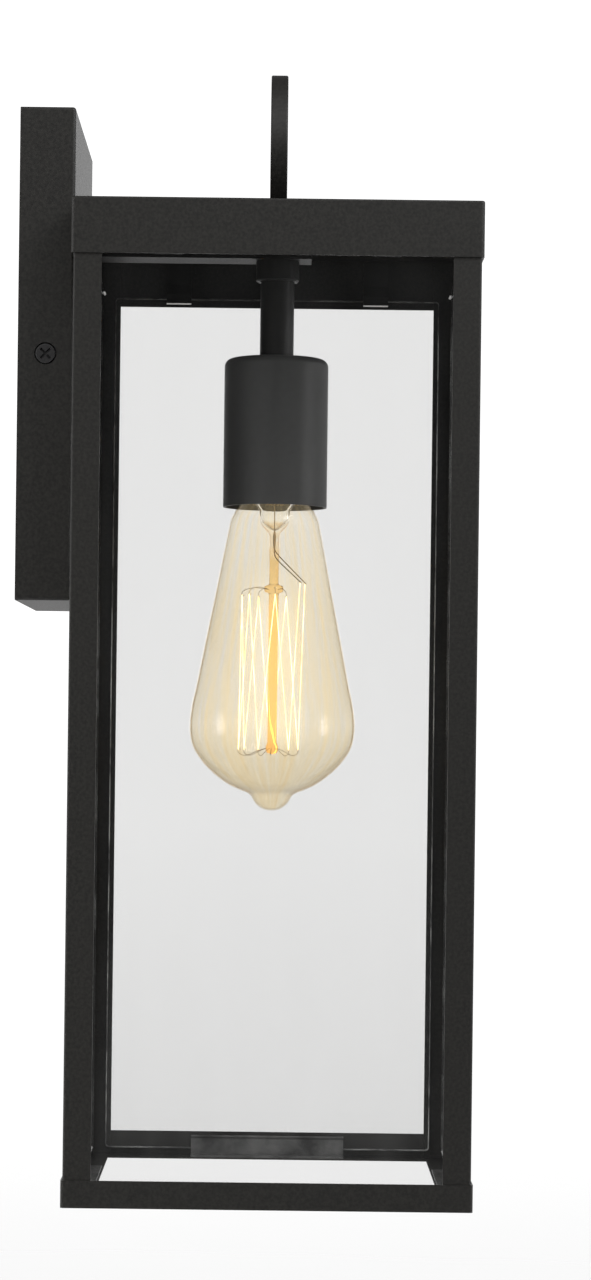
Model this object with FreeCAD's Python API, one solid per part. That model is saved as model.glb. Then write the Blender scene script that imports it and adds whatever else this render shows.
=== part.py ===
import FreeCAD, Part
import math
import os

from FreeCAD import Vector

# Outdoor wall lantern: a square glass cage hung from a wall plate, with one screw-in bulb.
# Frame: +Z up, wall at +Y. The origin is the centre of the wall plate, on the wall plane (y = 0).

# ---- Driving dimensions, mm -------------------------------------------------------------------

# Wall plate
PLATE_W = 110.0
PLATE_H = 182.0
PLATE_D = 20.5
PLATE_SHEET = 1.2
PLATE_CORNER_R = 1.2

# Roof cap
CAP_SIDE = 150.0
CAP_H = 20.5
CAP_SHEET = 0.8
CAP_TOP_Z = 55.0
CAP_CORNER_R = 1.4

# Cage
CAGE_BOTTOM_Z = -312.0
POST_SPAN = 148.3
POST_LEG = 10.3
POST_SHEET = 1.0
POST_TOP_GAP = 2.0
BAND_SIDE = 149.7
BAND_H = 10.0
BAND_FLANGE = 10.3
BAND_SHEET = 0.6
BAND_CORNER_R = 1.3

# Glass panels and the clips that hold them
GLASS_W = 132.0
GLASS_T = 2.5
GLASS_BOTTOM_GAP = 3.4
GLASS_TOP_LAP = 3.1
GLASS_CORNER_R = 4.0
GLASS_GAP = 0.15
TOP_CLIP_W = 10.0
TOP_CLIP_OFFSET = 40.0
BOTTOM_CLIP_W = 62.0
BOTTOM_CLIP_H = 8.5
CLIP_SHEET = 0.8

# Arm under the roof
ARM_W = 16.0
ARM_T = 2.5
ARM_DROP = 12.2
ARM_PAST_STEM = 13.0
ARM_PLATE_W = 60.0
ARM_PLATE_TOP = 53.4
FIXING_X = 20.0
FIXING_Z = 48.4
FIXING_R = 2.0

# Hanging ring on the roof
RING_R = 29.5
RING_T = 3.0
RING_W = 6.5
RING_EDGE_R = 0.6

# Stem and lamp holder
STEM_R = 6.5
COLLAR_R = 8.3
COLLAR_H = 8.0
CUP_R = 20.0
CUP_TOP_Z = 5.0
CUP_H = 57.0
CUP_SHEET = 1.0
CUP_SHOULDER_R = 3.0
NIPPLE_R = 5.0
NIPPLE_BORE_R = 3.8

# Bulb, E26 base and ST64 envelope
THREAD_PITCH = 3.629
BASE_R = 12.5
BASE_RIDGE = 0.75
BASE_TURNS = 5
BASE_SHEET = 0.3
SHELL_BORE_R = 13.6
BULB_NECK_R = 16.9
BULB_MAX_R = 32.0
BULB_TIP_DROP = 116.8
BULB_GLASS_T = 0.8
FILAMENT_TOP_DROP = 33.5
FILAMENT_BOTTOM_DROP = 93.6
FILAMENT_TOP_R = 12.4
FILAMENT_BOTTOM_R = 13.5
FILAMENT_LOOPS = 7
FILAMENT_START = -126.0
FILAMENT_R = 0.25
SUPPORT_R = 0.2

# Leads inside
LEAD_R = 1.0
LEAD_X = 1.6

# ---- Places worked out from the driving dimensions ----------------------------------------------

PLATE_FRONT_Y = -PLATE_D
AXIS_Y = PLATE_FRONT_Y - CAP_SIDE / 2
CAP_BOTTOM_Z = CAP_TOP_Z - CAP_H
ROOF_UNDER_Z = CAP_TOP_Z - CAP_SHEET
LIP_Y = PLATE_FRONT_Y - CAP_SHEET
ARM_UNDER_Z = CAP_TOP_Z - ARM_DROP
ARM_TOP_Z = ARM_UNDER_Z + ARM_T
CUP_BOTTOM_Z = CUP_TOP_Z - CUP_H
RIM_Z = CUP_BOTTOM_Z
FLANGE_TOP_Z = CAGE_BOTTOM_Z + BAND_SHEET
GLASS_BOTTOM_Z = CAGE_BOTTOM_Z + GLASS_BOTTOM_GAP
GLASS_TOP_Z = CAP_BOTTOM_Z + GLASS_TOP_LAP
GLASS_OUTER = POST_SPAN / 2 - POST_SHEET - GLASS_GAP
GLASS_INNER = GLASS_OUTER - GLASS_T


# ---- Helpers ------------------------------------------------------------------------------------

def box(x0, x1, y0, y1, z0, z1):
    return Part.makeBox(x1 - x0, y1 - y0, z1 - z0, Vector(x0, y0, z0))


def rounded_box(x0, x1, y0, y1, z0, z1, radius):
    """A box whose four upright edges are rounded."""
    solid = box(x0, x1, y0, y1, z0, z1)
    upright = [e for e in solid.Edges if abs(e.BoundBox.ZLength - (z1 - z0)) < 1e-6]
    return solid.makeFillet(radius, upright)


def rod(radius, start, end):
    axis = end - start
    return Part.makeCylinder(radius, axis.Length, start, axis)


def tube(outer, inner, z0, z1, x=0.0, y=AXIS_Y):
    base = Vector(x, y, z0)
    return Part.makeCylinder(outer, z1 - z0, base).cut(Part.makeCylinder(inner, z1 - z0, base))


def revolve(points, x=0.0, y=AXIS_Y):
    """Turn a closed outline of (radius, z) points about the upright axis at (x, y)."""
    corners = [Vector(x + r, y, z) for r, z in points]
    face = Part.Face(Part.makePolygon(corners + corners[:1]))
    return face.revolve(Vector(x, y, 0), Vector(0, 0, 1), 360)


def prism(points, direction):
    """Extrude a closed outline of Vectors along a direction."""
    return Part.Face(Part.makePolygon(points + points[:1])).extrude(direction)


def hexagon(across_flats, centre, axis):
    """A six-sided nut blank, from its near face's centre along axis."""
    radius = across_flats / math.sqrt(3)
    side = axis.cross(Vector(1, 0, 0))
    side.normalize()
    other = Vector(axis).normalize().cross(side)
    corners = []
    for k in range(6):
        angle = math.radians(60 * k)
        corners.append(centre + side * (radius * math.cos(angle)) + other * (radius * math.sin(angle)))
    return prism(corners, axis)


def cross_recess(radius, depth, centre, axis, turn=45.0):
    """A Phillips cross as a cutting tool, sunk into a head from centre along axis."""
    arms = []
    width = radius * 0.36
    for k in range(2):
        arm = box(-radius, radius, -width / 2, width / 2, 0, depth)
        arm.rotate(Vector(0, 0, 0), Vector(0, 0, 1), turn + 90 * k)
        arms.append(arm)
    tool = arms[0].fuse(arms[1])
    place = FreeCAD.Placement(centre, FreeCAD.Rotation(Vector(0, 0, 1), axis))
    tool.Placement = place.multiply(tool.Placement)
    return tool


def bent_rod(points, radius, bend):
    """A round rod along straight runs with an arc of radius bend at each inner point."""
    edges = []
    start = points[0]
    for before, corner, after in zip(points, points[1:], points[2:]):
        run_in = Vector(before - corner).normalize()
        run_out = Vector(after - corner).normalize()
        half_turn = (math.pi - run_in.getAngle(run_out)) / 2
        setback = bend * math.tan(half_turn)
        first = corner + run_in * setback
        last = corner + run_out * setback
        middle_way = Vector(run_in + run_out).normalize()
        middle = corner + middle_way * (bend / math.cos(half_turn) - bend)
        if (first - start).Length > 1e-6:
            edges.append(Part.LineSegment(start, first).toShape())
        edges.append(Part.Arc(first, middle, last).toShape())
        start = last
    edges.append(Part.LineSegment(start, points[-1]).toShape())
    path = Part.Wire(edges)
    profile = Part.Wire(Part.makeCircle(radius, points[0], points[1] - points[0]))
    return path.makePipeShell([profile], True, False)


def four_sides(shape):
    """The same piece on the +X, +Y, -X and -Y sides of the cage."""
    pieces = []
    for k in range(4):
        copy = shape.copy()
        copy.rotate(Vector(0, AXIS_Y, 0), Vector(0, 0, 1), 90 * k)
        pieces.append(copy)
    return pieces


def group(pieces):
    return Part.makeCompound(pieces)


# ---- Wall plate and what is in it ---------------------------------------------------------------

SIDE_SCREW_Y = PLATE_FRONT_Y / 2
SIDE_HEAD_R = 3.7
SIDE_HOLE_R = 4.1
SIDE_SHANK_R = 2.0
SIDE_SEAT = 1.6
BAR_LENGTH = 102.0
BAR_H = 20.0
BAR_T = 2.0
BAR_EAR = 17.0
BAR_SLOT_X = 39.7
BAR_SLOT_LENGTH = 16.0
BAR_SLOT_R = 2.4
GROUND_X = 20.0
GASKET_W = 6.0
GASKET_T = 3.0
GROMMET_Z = 49.3
GROMMET_R = 3.3
GROMMET_FLANGE_R = 3.9
NUT_T = 3.2
NUT_AF = 7.0


def plate_hole_tools():
    front = Vector(0, PLATE_FRONT_Y - 5, GROMMET_Z)
    tools = [Part.makeCylinder(GROMMET_R, 20, front, Vector(0, 1, 0))]
    for side in (-1, 1):
        start = Vector(side * FIXING_X, PLATE_FRONT_Y - 5, FIXING_Z)
        tools.append(Part.makeCylinder(FIXING_R + 0.15, 20, start, Vector(0, 1, 0)))
    return tools


def backplate():
    half_w = PLATE_W / 2
    half_h = PLATE_H / 2
    outer = box(-half_w, half_w, PLATE_FRONT_Y, 0, -half_h, half_h)
    seams = []
    for edge in outer.Edges:
        on_front = edge.BoundBox.YMax < PLATE_FRONT_Y + 1e-6
        along_y = edge.BoundBox.YLength > 1
        if on_front or along_y:
            seams.append(edge)
    outer = outer.makeFillet(PLATE_CORNER_R, seams)
    sheet = PLATE_SHEET
    inside = box(-half_w + sheet, half_w - sheet, PLATE_FRONT_Y + sheet, 1, -half_h + sheet, half_h - sheet)
    plate = outer.cut(inside)
    for tool in plate_hole_tools():
        plate = plate.cut(tool)
    # Each side wall is dished inwards round its screw, so that the head sits nearly flush.
    for side in (-1, 1):
        wall = side * half_w
        centre = Vector(wall, SIDE_SCREW_Y, 0)
        inward = Vector(-side, 0, 0)
        dish = Part.makeCylinder(SIDE_HOLE_R + 1.0, sheet + SIDE_SEAT - 0.2, centre, inward)
        plate = plate.fuse(dish)
        plate = plate.cut(Part.makeCylinder(SIDE_HOLE_R, SIDE_SEAT, centre, inward))
        plate = plate.cut(Part.makeCylinder(SIDE_SHANK_R + 0.2, 10, centre, inward))
    return plate.removeSplitter()


def wall_gasket():
    half_w = PLATE_W / 2 - PLATE_SHEET
    half_h = PLATE_H / 2 - PLATE_SHEET
    outer = box(-half_w, half_w, -GASKET_T, 0, -half_h, half_h)
    hole_w = half_w - GASKET_W
    hole_h = half_h - GASKET_W
    inner = box(-hole_w, hole_w, -GASKET_T - 1, 1, -hole_h, hole_h)
    # The strip is cut away where the mounting bar's ends pass.
    gap = box(-PLATE_W, PLATE_W, -GASKET_T - 1, 1, -BAR_H / 2 - 1, BAR_H / 2 + 1)
    return outer.cut(inner).cut(gap)


def crossbar():
    half = BAR_LENGTH / 2
    bar = box(-half, half, -BAR_T, 0, -BAR_H / 2, BAR_H / 2)
    for side in (-1, 1):
        ear_x = sorted((side * half, side * (half - BAR_T)))
        bar = bar.fuse(box(ear_x[0], ear_x[1], -BAR_EAR, 0, -BAR_H / 2 + 2, BAR_H / 2 - 2))
        centre = Vector(side * (half + 1), SIDE_SCREW_Y, 0)
        bar = bar.cut(Part.makeCylinder(SIDE_SHANK_R, BAR_T + 2, centre, Vector(-side, 0, 0)))
        flat = BAR_SLOT_LENGTH / 2 - BAR_SLOT_R
        slot_x = side * BAR_SLOT_X
        slot = box(slot_x - flat, slot_x + flat, -BAR_T - 1, 1, -BAR_SLOT_R, BAR_SLOT_R)
        for end in (-flat, flat):
            start = Vector(slot_x + end, -BAR_T - 1, 0)
            slot = slot.fuse(Part.makeCylinder(BAR_SLOT_R, BAR_T + 2, start, Vector(0, 1, 0)))
        bar = bar.cut(slot)
    bar = bar.cut(Part.makeCylinder(FIXING_R, BAR_T + 2, Vector(GROUND_X, -BAR_T - 1, 0), Vector(0, 1, 0)))
    return bar.removeSplitter()


def side_screws():
    screws = []
    for side in (-1, 1):
        inward = Vector(-side, 0, 0)
        face = Vector(side * PLATE_W / 2, SIDE_SCREW_Y, 0)
        head = Part.makeCylinder(SIDE_HEAD_R, SIDE_SEAT, face, inward)
        rim = [e for e in head.Edges if abs(e.CenterOfMass.x - face.x) < 1e-6 and e.Closed]
        head = head.makeFillet(0.5, rim[:1])
        shank_length = (PLATE_W - BAR_LENGTH) / 2 + BAR_T + 2
        shank = Part.makeCylinder(SIDE_SHANK_R, shank_length, face, inward)
        screw = head.fuse(shank)
        screws.append(screw.cut(cross_recess(SIDE_HEAD_R * 0.68, 1.1, face, inward)))
    return group(screws)


def ground_screw():
    head_face = Vector(GROUND_X, -BAR_T - 3.3, 0)
    head = hexagon(7.0, head_face, Vector(0, 2.0, 0))
    shank = Part.makeCylinder(FIXING_R, BAR_T + 1.5, head_face + Vector(0, 1.8, 0), Vector(0, 1, 0))
    slot = box(GROUND_X - 4, GROUND_X + 4, head_face.y - 1, head_face.y + 0.9, -0.5, 0.5)
    return head.fuse(shank).cut(slot)


def ring_terminal(centre, thickness):
    outer = Part.makeCylinder(4.0, thickness, centre, Vector(0, 1, 0))
    return outer.cut(Part.makeCylinder(FIXING_R + 0.1, thickness, centre, Vector(0, 1, 0)))


def ground_wire():
    """Bare wire with a ring terminal at each end, from an arm screw down to the mounting bar."""
    thick = 1.3
    top_y = PLATE_FRONT_Y + PLATE_SHEET + NUT_T
    bottom_y = -BAR_T - thick
    top = Vector(GROUND_X, top_y, FIXING_Z)
    bottom = Vector(GROUND_X, bottom_y, 0)
    wire = bent_rod(
        [
            Vector(GROUND_X, top_y + thick / 2, FIXING_Z - 3.0),
            Vector(GROUND_X, top_y + thick / 2, FIXING_Z - 14),
            Vector(GROUND_X + 9, (top_y + bottom_y) / 2, 24),
            Vector(GROUND_X, bottom_y + thick / 2, 12),
            Vector(GROUND_X, bottom_y + thick / 2, 3.0),
        ],
        thick / 2 - 0.05,
        5.0,
    )
    return ring_terminal(top, thick).fuse(wire).fuse(ring_terminal(bottom, thick))


NUT_CAP_X = 12.0
NUT_CAP_TOP_Z = -14.0
NUT_CAP_LENGTH = 21.0
NUT_CAP_Y = -11.0
NUT_CAP_MOUTH_R = 4.6
NUT_CAP_TIP_R = 3.2


def wire_nuts():
    caps = []
    for side in (-1, 1):
        mouth = Vector(side * NUT_CAP_X, NUT_CAP_Y, NUT_CAP_TOP_Z)
        down = Vector(0, 0, -1)
        cone = Part.makeCone(NUT_CAP_MOUTH_R, NUT_CAP_TIP_R, NUT_CAP_LENGTH, mouth, down)
        for k in range(8):
            angle = math.radians(45 * k)
            spot = mouth + Vector(math.cos(angle), math.sin(angle), 0) * (NUT_CAP_MOUTH_R + 0.5)
            cone = cone.cut(Part.makeCylinder(0.9, NUT_CAP_LENGTH - 5, spot + Vector(0, 0, -2), down))
        cone = cone.cut(Part.makeCylinder(LEAD_R + 0.05, 9, mouth, down))
        wing_x = sorted((mouth.x - NUT_CAP_MOUTH_R - 1.4, mouth.x + NUT_CAP_MOUTH_R + 1.4))
        wing_z = (NUT_CAP_TOP_Z - 9, NUT_CAP_TOP_Z - 1)
        wing = box(wing_x[0], wing_x[1], NUT_CAP_Y - 0.6, NUT_CAP_Y + 0.6, wing_z[0], wing_z[1])
        wing = wing.cut(Part.makeCylinder(LEAD_R + 1.2, 12, mouth, down))
        caps.append(cone.fuse(wing))
    return group(caps)


# ---- Roof ----------------------------------------------------------------------------------------

def roof_cap():
    half = CAP_SIDE / 2
    y0, y1 = AXIS_Y - half, AXIS_Y + half
    outer = rounded_box(-half, half, y0, y1, CAP_BOTTOM_Z, CAP_TOP_Z, CAP_CORNER_R)
    top_edges = [e for e in outer.Edges if e.BoundBox.ZMin > CAP_TOP_Z - 1e-6]
    outer = outer.makeFillet(0.7, top_edges)
    room = half - CAP_SHEET
    inside_r = CAP_CORNER_R - CAP_SHEET
    inside = rounded_box(
        -room, room, AXIS_Y - room, AXIS_Y + room, CAP_BOTTOM_Z - 1, ROOF_UNDER_Z, inside_r
    )
    cap = outer.cut(inside)
    for tool in plate_hole_tools():
        cap = cap.cut(tool)
    return cap.cut(Part.makeCylinder(FIXING_R + 0.1, 5, Vector(0, AXIS_Y, ROOF_UNDER_Z - 2)))


RING_SCREW_HEAD_R = 3.5
RING_SCREW_HEAD_T = 1.6


def loop_ring():
    centre = Vector(0, AXIS_Y - RING_W / 2, CAP_TOP_Z + RING_R)
    along = Vector(0, 1, 0)
    ring = Part.makeCylinder(RING_R, RING_W, centre, along)
    ring = ring.cut(Part.makeCylinder(RING_R - RING_T, RING_W, centre, along))
    ring = ring.makeFillet(RING_EDGE_R, [e for e in ring.Edges if e.Closed])
    # A flat on the underside, where the ring is screwed down to the roof.
    pad_half = RING_W / 2 - RING_EDGE_R
    pad = box(-6, 6, AXIS_Y - pad_half, AXIS_Y + pad_half, CAP_TOP_Z, CAP_TOP_Z + 1.5)
    ring = ring.fuse(pad)
    return ring.cut(Part.makeCylinder(FIXING_R, 2.6, Vector(0, AXIS_Y, CAP_TOP_Z))).removeSplitter()


def loop_screw():
    face = Vector(0, AXIS_Y, ROOF_UNDER_Z - RING_SCREW_HEAD_T)
    head = Part.makeCylinder(RING_SCREW_HEAD_R, RING_SCREW_HEAD_T, face)
    shank = Part.makeCylinder(FIXING_R, CAP_SHEET + 2.4, Vector(0, AXIS_Y, ROOF_UNDER_Z))
    return head.fuse(shank).cut(cross_recess(2.2, 0.9, face, Vector(0, 0, 1)))


# ---- Arm -----------------------------------------------------------------------------------------

ARM_FACE_Y = LIP_Y - ARM_T


def arm_strap():
    end_y = AXIS_Y - ARM_PAST_STEM
    strap = box(-ARM_W / 2, ARM_W / 2, end_y, LIP_Y, ARM_UNDER_Z, ARM_TOP_Z)
    plate = box(-ARM_PLATE_W / 2, ARM_PLATE_W / 2, ARM_FACE_Y, LIP_Y, ARM_UNDER_Z, ARM_PLATE_TOP)
    arm = strap.fuse(plate)
    for tool in plate_hole_tools():
        arm = arm.cut(tool)
    arm = arm.cut(Part.makeCylinder(NIPPLE_R + 0.05, 10, Vector(0, AXIS_Y, ARM_UNDER_Z - 2)))
    return arm.removeSplitter()


def fixing_screws():
    screws = []
    for side in (-1, 1):
        seat = Vector(side * FIXING_X, ARM_FACE_Y, FIXING_Z)
        head = Part.makeCylinder(3.8, 2.2, seat, Vector(0, -1, 0))
        rim = [e for e in head.Edges if e.BoundBox.YMax < seat.y - 2.1 and e.Closed]
        head = head.makeFillet(0.9, rim[:1])
        length = PLATE_FRONT_Y + PLATE_SHEET + NUT_T + 3.2 - ARM_FACE_Y
        shank = Part.makeCylinder(FIXING_R, length, seat, Vector(0, 1, 0))
        recess = cross_recess(2.4, 1.3, seat + Vector(0, -2.2, 0), Vector(0, 1, 0))
        screws.append(head.fuse(shank).cut(recess))
    return group(screws)


def fixing_nuts():
    nuts = []
    for side in (-1, 1):
        seat = Vector(side * FIXING_X, PLATE_FRONT_Y + PLATE_SHEET, FIXING_Z)
        nut = hexagon(NUT_AF, seat, Vector(0, NUT_T, 0))
        nuts.append(nut.cut(Part.makeCylinder(FIXING_R, NUT_T, seat, Vector(0, 1, 0))))
    return group(nuts)


def grommet():
    """A rubber bush through the arm's plate, the roof's lip and the wall plate."""
    along = Vector(0, 1, 0)
    span = (PLATE_FRONT_Y + PLATE_SHEET) - ARM_FACE_Y
    start = Vector(0, ARM_FACE_Y, GROMMET_Z)
    body = Part.makeCylinder(GROMMET_R, span, start, along)
    for y in (ARM_FACE_Y - 1.0, PLATE_FRONT_Y + PLATE_SHEET):
        body = body.fuse(Part.makeCylinder(GROMMET_FLANGE_R, 1.0, Vector(0, y, GROMMET_Z), along))
    slot = box(-LEAD_X, LEAD_X, ARM_FACE_Y - 2, PLATE_FRONT_Y + 4, GROMMET_Z - LEAD_R, GROMMET_Z + LEAD_R)
    for side in (-1, 1):
        mouth = Vector(side * LEAD_X * 0.75, ARM_FACE_Y - 2, GROMMET_Z)
        slot = slot.fuse(Part.makeCylinder(LEAD_R + 0.05, span + 6, mouth, along))
    return body.cut(slot).removeSplitter()


# ---- Stem and lamp holder -------------------------------------------------------------------------

LOCKNUT_T = 2.2
NIPPLE_TOP_Z = ARM_TOP_Z + LOCKNUT_T + 0.3
STEM_TOP_Z = ARM_UNDER_Z - COLLAR_H
CUP_NUT_T = 2.4
SOCKET_R = 17.0
SOCKET_TOP_Z = CUP_TOP_Z - CUP_SHEET - 12.0
SOCKET_BOTTOM_Z = CUP_BOTTOM_Z + 2.0
TERMINAL_X = 11.0


def nipple():
    return tube(NIPPLE_R, NIPPLE_BORE_R, STEM_TOP_Z - 12, NIPPLE_TOP_Z)


def locknut():
    nut = hexagon(16.0, Vector(0, AXIS_Y, ARM_TOP_Z), Vector(0, 0, LOCKNUT_T))
    return nut.cut(Part.makeCylinder(NIPPLE_R, LOCKNUT_T, Vector(0, AXIS_Y, ARM_TOP_Z)))


def collar():
    solid = revolve(
        [
            (NIPPLE_R, ARM_UNDER_Z),
            (COLLAR_R, ARM_UNDER_Z),
            (COLLAR_R, STEM_TOP_Z + 0.6),
            (COLLAR_R - 0.6, STEM_TOP_Z),
            (NIPPLE_R, STEM_TOP_Z),
        ]
    )
    return solid


def stem_tube():
    """The visible tube; its lower end is necked down to a thread that passes through the cup's top."""
    return revolve(
        [
            (NIPPLE_R, STEM_TOP_Z),
            (STEM_R, STEM_TOP_Z),
            (STEM_R, CUP_TOP_Z),
            (NIPPLE_R, CUP_TOP_Z),
            (NIPPLE_R, CUP_TOP_Z - CUP_SHEET - CUP_NUT_T - 1.2),
            (NIPPLE_BORE_R, CUP_TOP_Z - CUP_SHEET - CUP_NUT_T - 1.2),
            (NIPPLE_BORE_R, STEM_TOP_Z - 13),
            (NIPPLE_R, STEM_TOP_Z - 13),
        ]
    )


def socket_cup():
    shoulder = [(CUP_R, CUP_BOTTOM_Z)]
    for k in range(7):
        angle = math.radians(15 * k)
        radius = CUP_R - CUP_SHOULDER_R * (1 - math.cos(angle))
        shoulder.append((radius, CUP_TOP_Z - CUP_SHOULDER_R * (1 - math.sin(angle))))
    inner = CUP_R - CUP_SHEET
    return revolve(
        shoulder
        + [
            (NIPPLE_R + 0.05, CUP_TOP_Z),
            (NIPPLE_R + 0.05, CUP_TOP_Z - CUP_SHEET),
            (inner - 2.0, CUP_TOP_Z - CUP_SHEET),
            (inner, CUP_TOP_Z - CUP_SHEET - 2.0),
            (inner, CUP_BOTTOM_Z),
        ]
    )


def cup_nut():
    top = CUP_TOP_Z - CUP_SHEET
    nut = hexagon(16.0, Vector(0, AXIS_Y, top), Vector(0, 0, -CUP_NUT_T))
    return nut.cut(Part.makeCylinder(NIPPLE_R, CUP_NUT_T, Vector(0, AXIS_Y, top - CUP_NUT_T)))


SPIDER_T = 1.0


def socket_bridge():
    """A bent strip that ties the lamp holder to the stem's lower thread."""
    top = CUP_TOP_Z - CUP_SHEET - CUP_NUT_T
    leg_x = 15.4
    strip = box(-leg_x, leg_x, AXIS_Y - 5.6, AXIS_Y + 5.6, top - SPIDER_T, top)
    strip = strip.cut(Part.makeCylinder(NIPPLE_R + 0.05, 4, Vector(0, AXIS_Y, top - 2)))
    for side in (-1, 1):
        leg = sorted((side * leg_x, side * (leg_x - SPIDER_T)))
        foot = sorted((side * leg_x, side * (leg_x - 4.0)))
        strip = strip.fuse(box(leg[0], leg[1], AXIS_Y - 3.5, AXIS_Y + 3.5, SOCKET_TOP_Z, top))
        foot_top = SOCKET_TOP_Z + SPIDER_T
        strip = strip.fuse(box(foot[0], foot[1], AXIS_Y - 3.5, AXIS_Y + 3.5, SOCKET_TOP_Z, foot_top))
    return strip.removeSplitter()


SHELL_SHEET = 0.5
SHELL_TOP_Z = RIM_Z + 27.5
BUSH_FLOOR_Z = SHELL_TOP_Z + 1.5


def socket_body():
    """Glazed ceramic body: a thick cup that holds the brass screw shell."""
    body = revolve(
        [
            (0, SOCKET_TOP_Z),
            (SOCKET_R - 1.5, SOCKET_TOP_Z),
            (SOCKET_R, SOCKET_TOP_Z - 1.5),
            (SOCKET_R, SOCKET_BOTTOM_Z),
            (SHELL_BORE_R + SHELL_SHEET, SOCKET_BOTTOM_Z),
            (SHELL_BORE_R + SHELL_SHEET, BUSH_FLOOR_Z),
            (0, BUSH_FLOOR_Z),
        ]
    )
    hole = Part.makeCylinder(2.2, 20, Vector(0, AXIS_Y, BUSH_FLOOR_Z - 1))
    body = body.cut(hole)
    for side in (-1, 1):
        pocket = Vector(side * TERMINAL_X, AXIS_Y + 7.0, SOCKET_TOP_Z)
        body = body.cut(Part.makeCylinder(FIXING_R - 0.5, 3.0, pocket, Vector(0, 0, -1)))
    return body


def socket_shell():
    return tube(SHELL_BORE_R + SHELL_SHEET, SHELL_BORE_R, SOCKET_BOTTOM_Z, BUSH_FLOOR_Z)


def socket_contact():
    """Sprung centre contact: a button on a stalk that slides in the ceramic body."""
    button = TIP_TOP_Z + 0.05
    return revolve(
        [
            (0, button),
            (1.6, button),
            (2.6, button + 0.5),
            (2.6, button + 1.1),
            (1.9, button + 1.1),
            (1.9, SOCKET_TOP_Z + 1.0),
            (0, SOCKET_TOP_Z + 1.0),
        ]
    )


def terminal_screws():
    screws = []
    for side in (-1, 1):
        seat = Vector(side * TERMINAL_X, AXIS_Y + 7.0, SOCKET_TOP_Z)
        head = Part.makeCylinder(2.8, 1.6, seat + Vector(0, 0, 0.9))
        shank = Part.makeCylinder(FIXING_R - 0.5, 3.6, seat + Vector(0, 0, -2.6))
        slot = box(seat.x - 3, seat.x + 3, seat.y - 0.4, seat.y + 0.4, seat.z + 1.8, seat.z + 3)
        screws.append(head.fuse(shank).cut(slot))
    return group(screws)


def lead(side):
    """One insulated lead, from its terminal up the stem and over the arm to its wire nut."""
    x = side * LEAD_X
    seat_z = SOCKET_TOP_Z + 0.9 + 1.6 + LEAD_R
    cavity_y = PLATE_FRONT_Y + PLATE_SHEET + 4.5
    points = [
        Vector(side * TERMINAL_X, AXIS_Y + 7.0, seat_z),
        Vector(side * 5.0, AXIS_Y + 1.5, seat_z + 0.3),
        Vector(x, AXIS_Y, seat_z + 2.3),
        Vector(x, AXIS_Y, NIPPLE_TOP_Z + 1.5),
        Vector(x, AXIS_Y + 13, NIPPLE_TOP_Z + 1.0),
        Vector(x * 0.75, ARM_FACE_Y - 16, GROMMET_Z - 1.6),
        Vector(x * 0.75, ARM_FACE_Y - 6, GROMMET_Z),
        Vector(x * 0.75, cavity_y + 1.0, GROMMET_Z),
        Vector(side * 4.5, cavity_y + 2.0, 22),
        Vector(side * NUT_CAP_X, NUT_CAP_Y, 4),
        Vector(side * NUT_CAP_X, NUT_CAP_Y, NUT_CAP_TOP_Z - 8.8),
    ]
    return bent_rod(points, LEAD_R, 2.6)


# ---- Cage ----------------------------------------------------------------------------------------

def post(side_x, side_y):
    """One corner angle, folded to a rounded outer edge."""
    half = POST_SPAN / 2
    z0 = FLANGE_TOP_Z
    z1 = ROOF_UNDER_Z - POST_TOP_GAP
    outer = box(half - POST_LEG, half, half - POST_LEG, half, z0, z1)
    fold = [
        e for e in outer.Edges
        if e.BoundBox.ZLength > 1 and e.BoundBox.XMin > half - 1e-6 and e.BoundBox.YMin > half - 1e-6
    ]
    outer = outer.makeFillet(0.9, fold)
    inner = half - POST_SHEET
    angle = outer.cut(box(half - POST_LEG - 1, inner, half - POST_LEG - 1, inner, z0 - 1, z1 + 1))
    if side_x < 0:
        angle = angle.mirror(Vector(0, 0, 0), Vector(1, 0, 0))
    if side_y < 0:
        angle = angle.mirror(Vector(0, 0, 0), Vector(0, 1, 0))
    angle.translate(Vector(0, AXIS_Y, 0))
    return angle


def bottom_frame():
    """Square ring of angle: an upright band round the posts and a flange under them."""
    half = BAND_SIDE / 2
    z1 = CAGE_BOTTOM_Z + BAND_H
    outer = rounded_box(-half, half, AXIS_Y - half, AXIS_Y + half, CAGE_BOTTOM_Z, z1, BAND_CORNER_R)
    inner = half - BAND_SHEET
    inside = rounded_box(
        -inner, inner, AXIS_Y - inner, AXIS_Y + inner, FLANGE_TOP_Z, z1 + 1, BAND_CORNER_R - BAND_SHEET
    )
    opening = half - BAND_FLANGE
    hole = box(-opening, opening, AXIS_Y - opening, AXIS_Y + opening, CAGE_BOTTOM_Z - 1, FLANGE_TOP_Z + 1)
    return outer.cut(inside).cut(hole)


def glass_panel():
    """The +X panel; the other three are turned copies."""
    half = GLASS_W / 2
    pane = box(GLASS_INNER, GLASS_OUTER, AXIS_Y - half, AXIS_Y + half, GLASS_BOTTOM_Z, GLASS_TOP_Z)
    corners = [e for e in pane.Edges if e.BoundBox.XLength > 1]
    return pane.makeFillet(GLASS_CORNER_R, corners)


def clip_profile(points, width, centre_y):
    """Extrude an (x, z) strip outline along Y, centred at centre_y."""
    corners = [Vector(x, centre_y - width / 2, z) for x, z in points]
    return prism(corners, Vector(0, width, 0))


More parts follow.
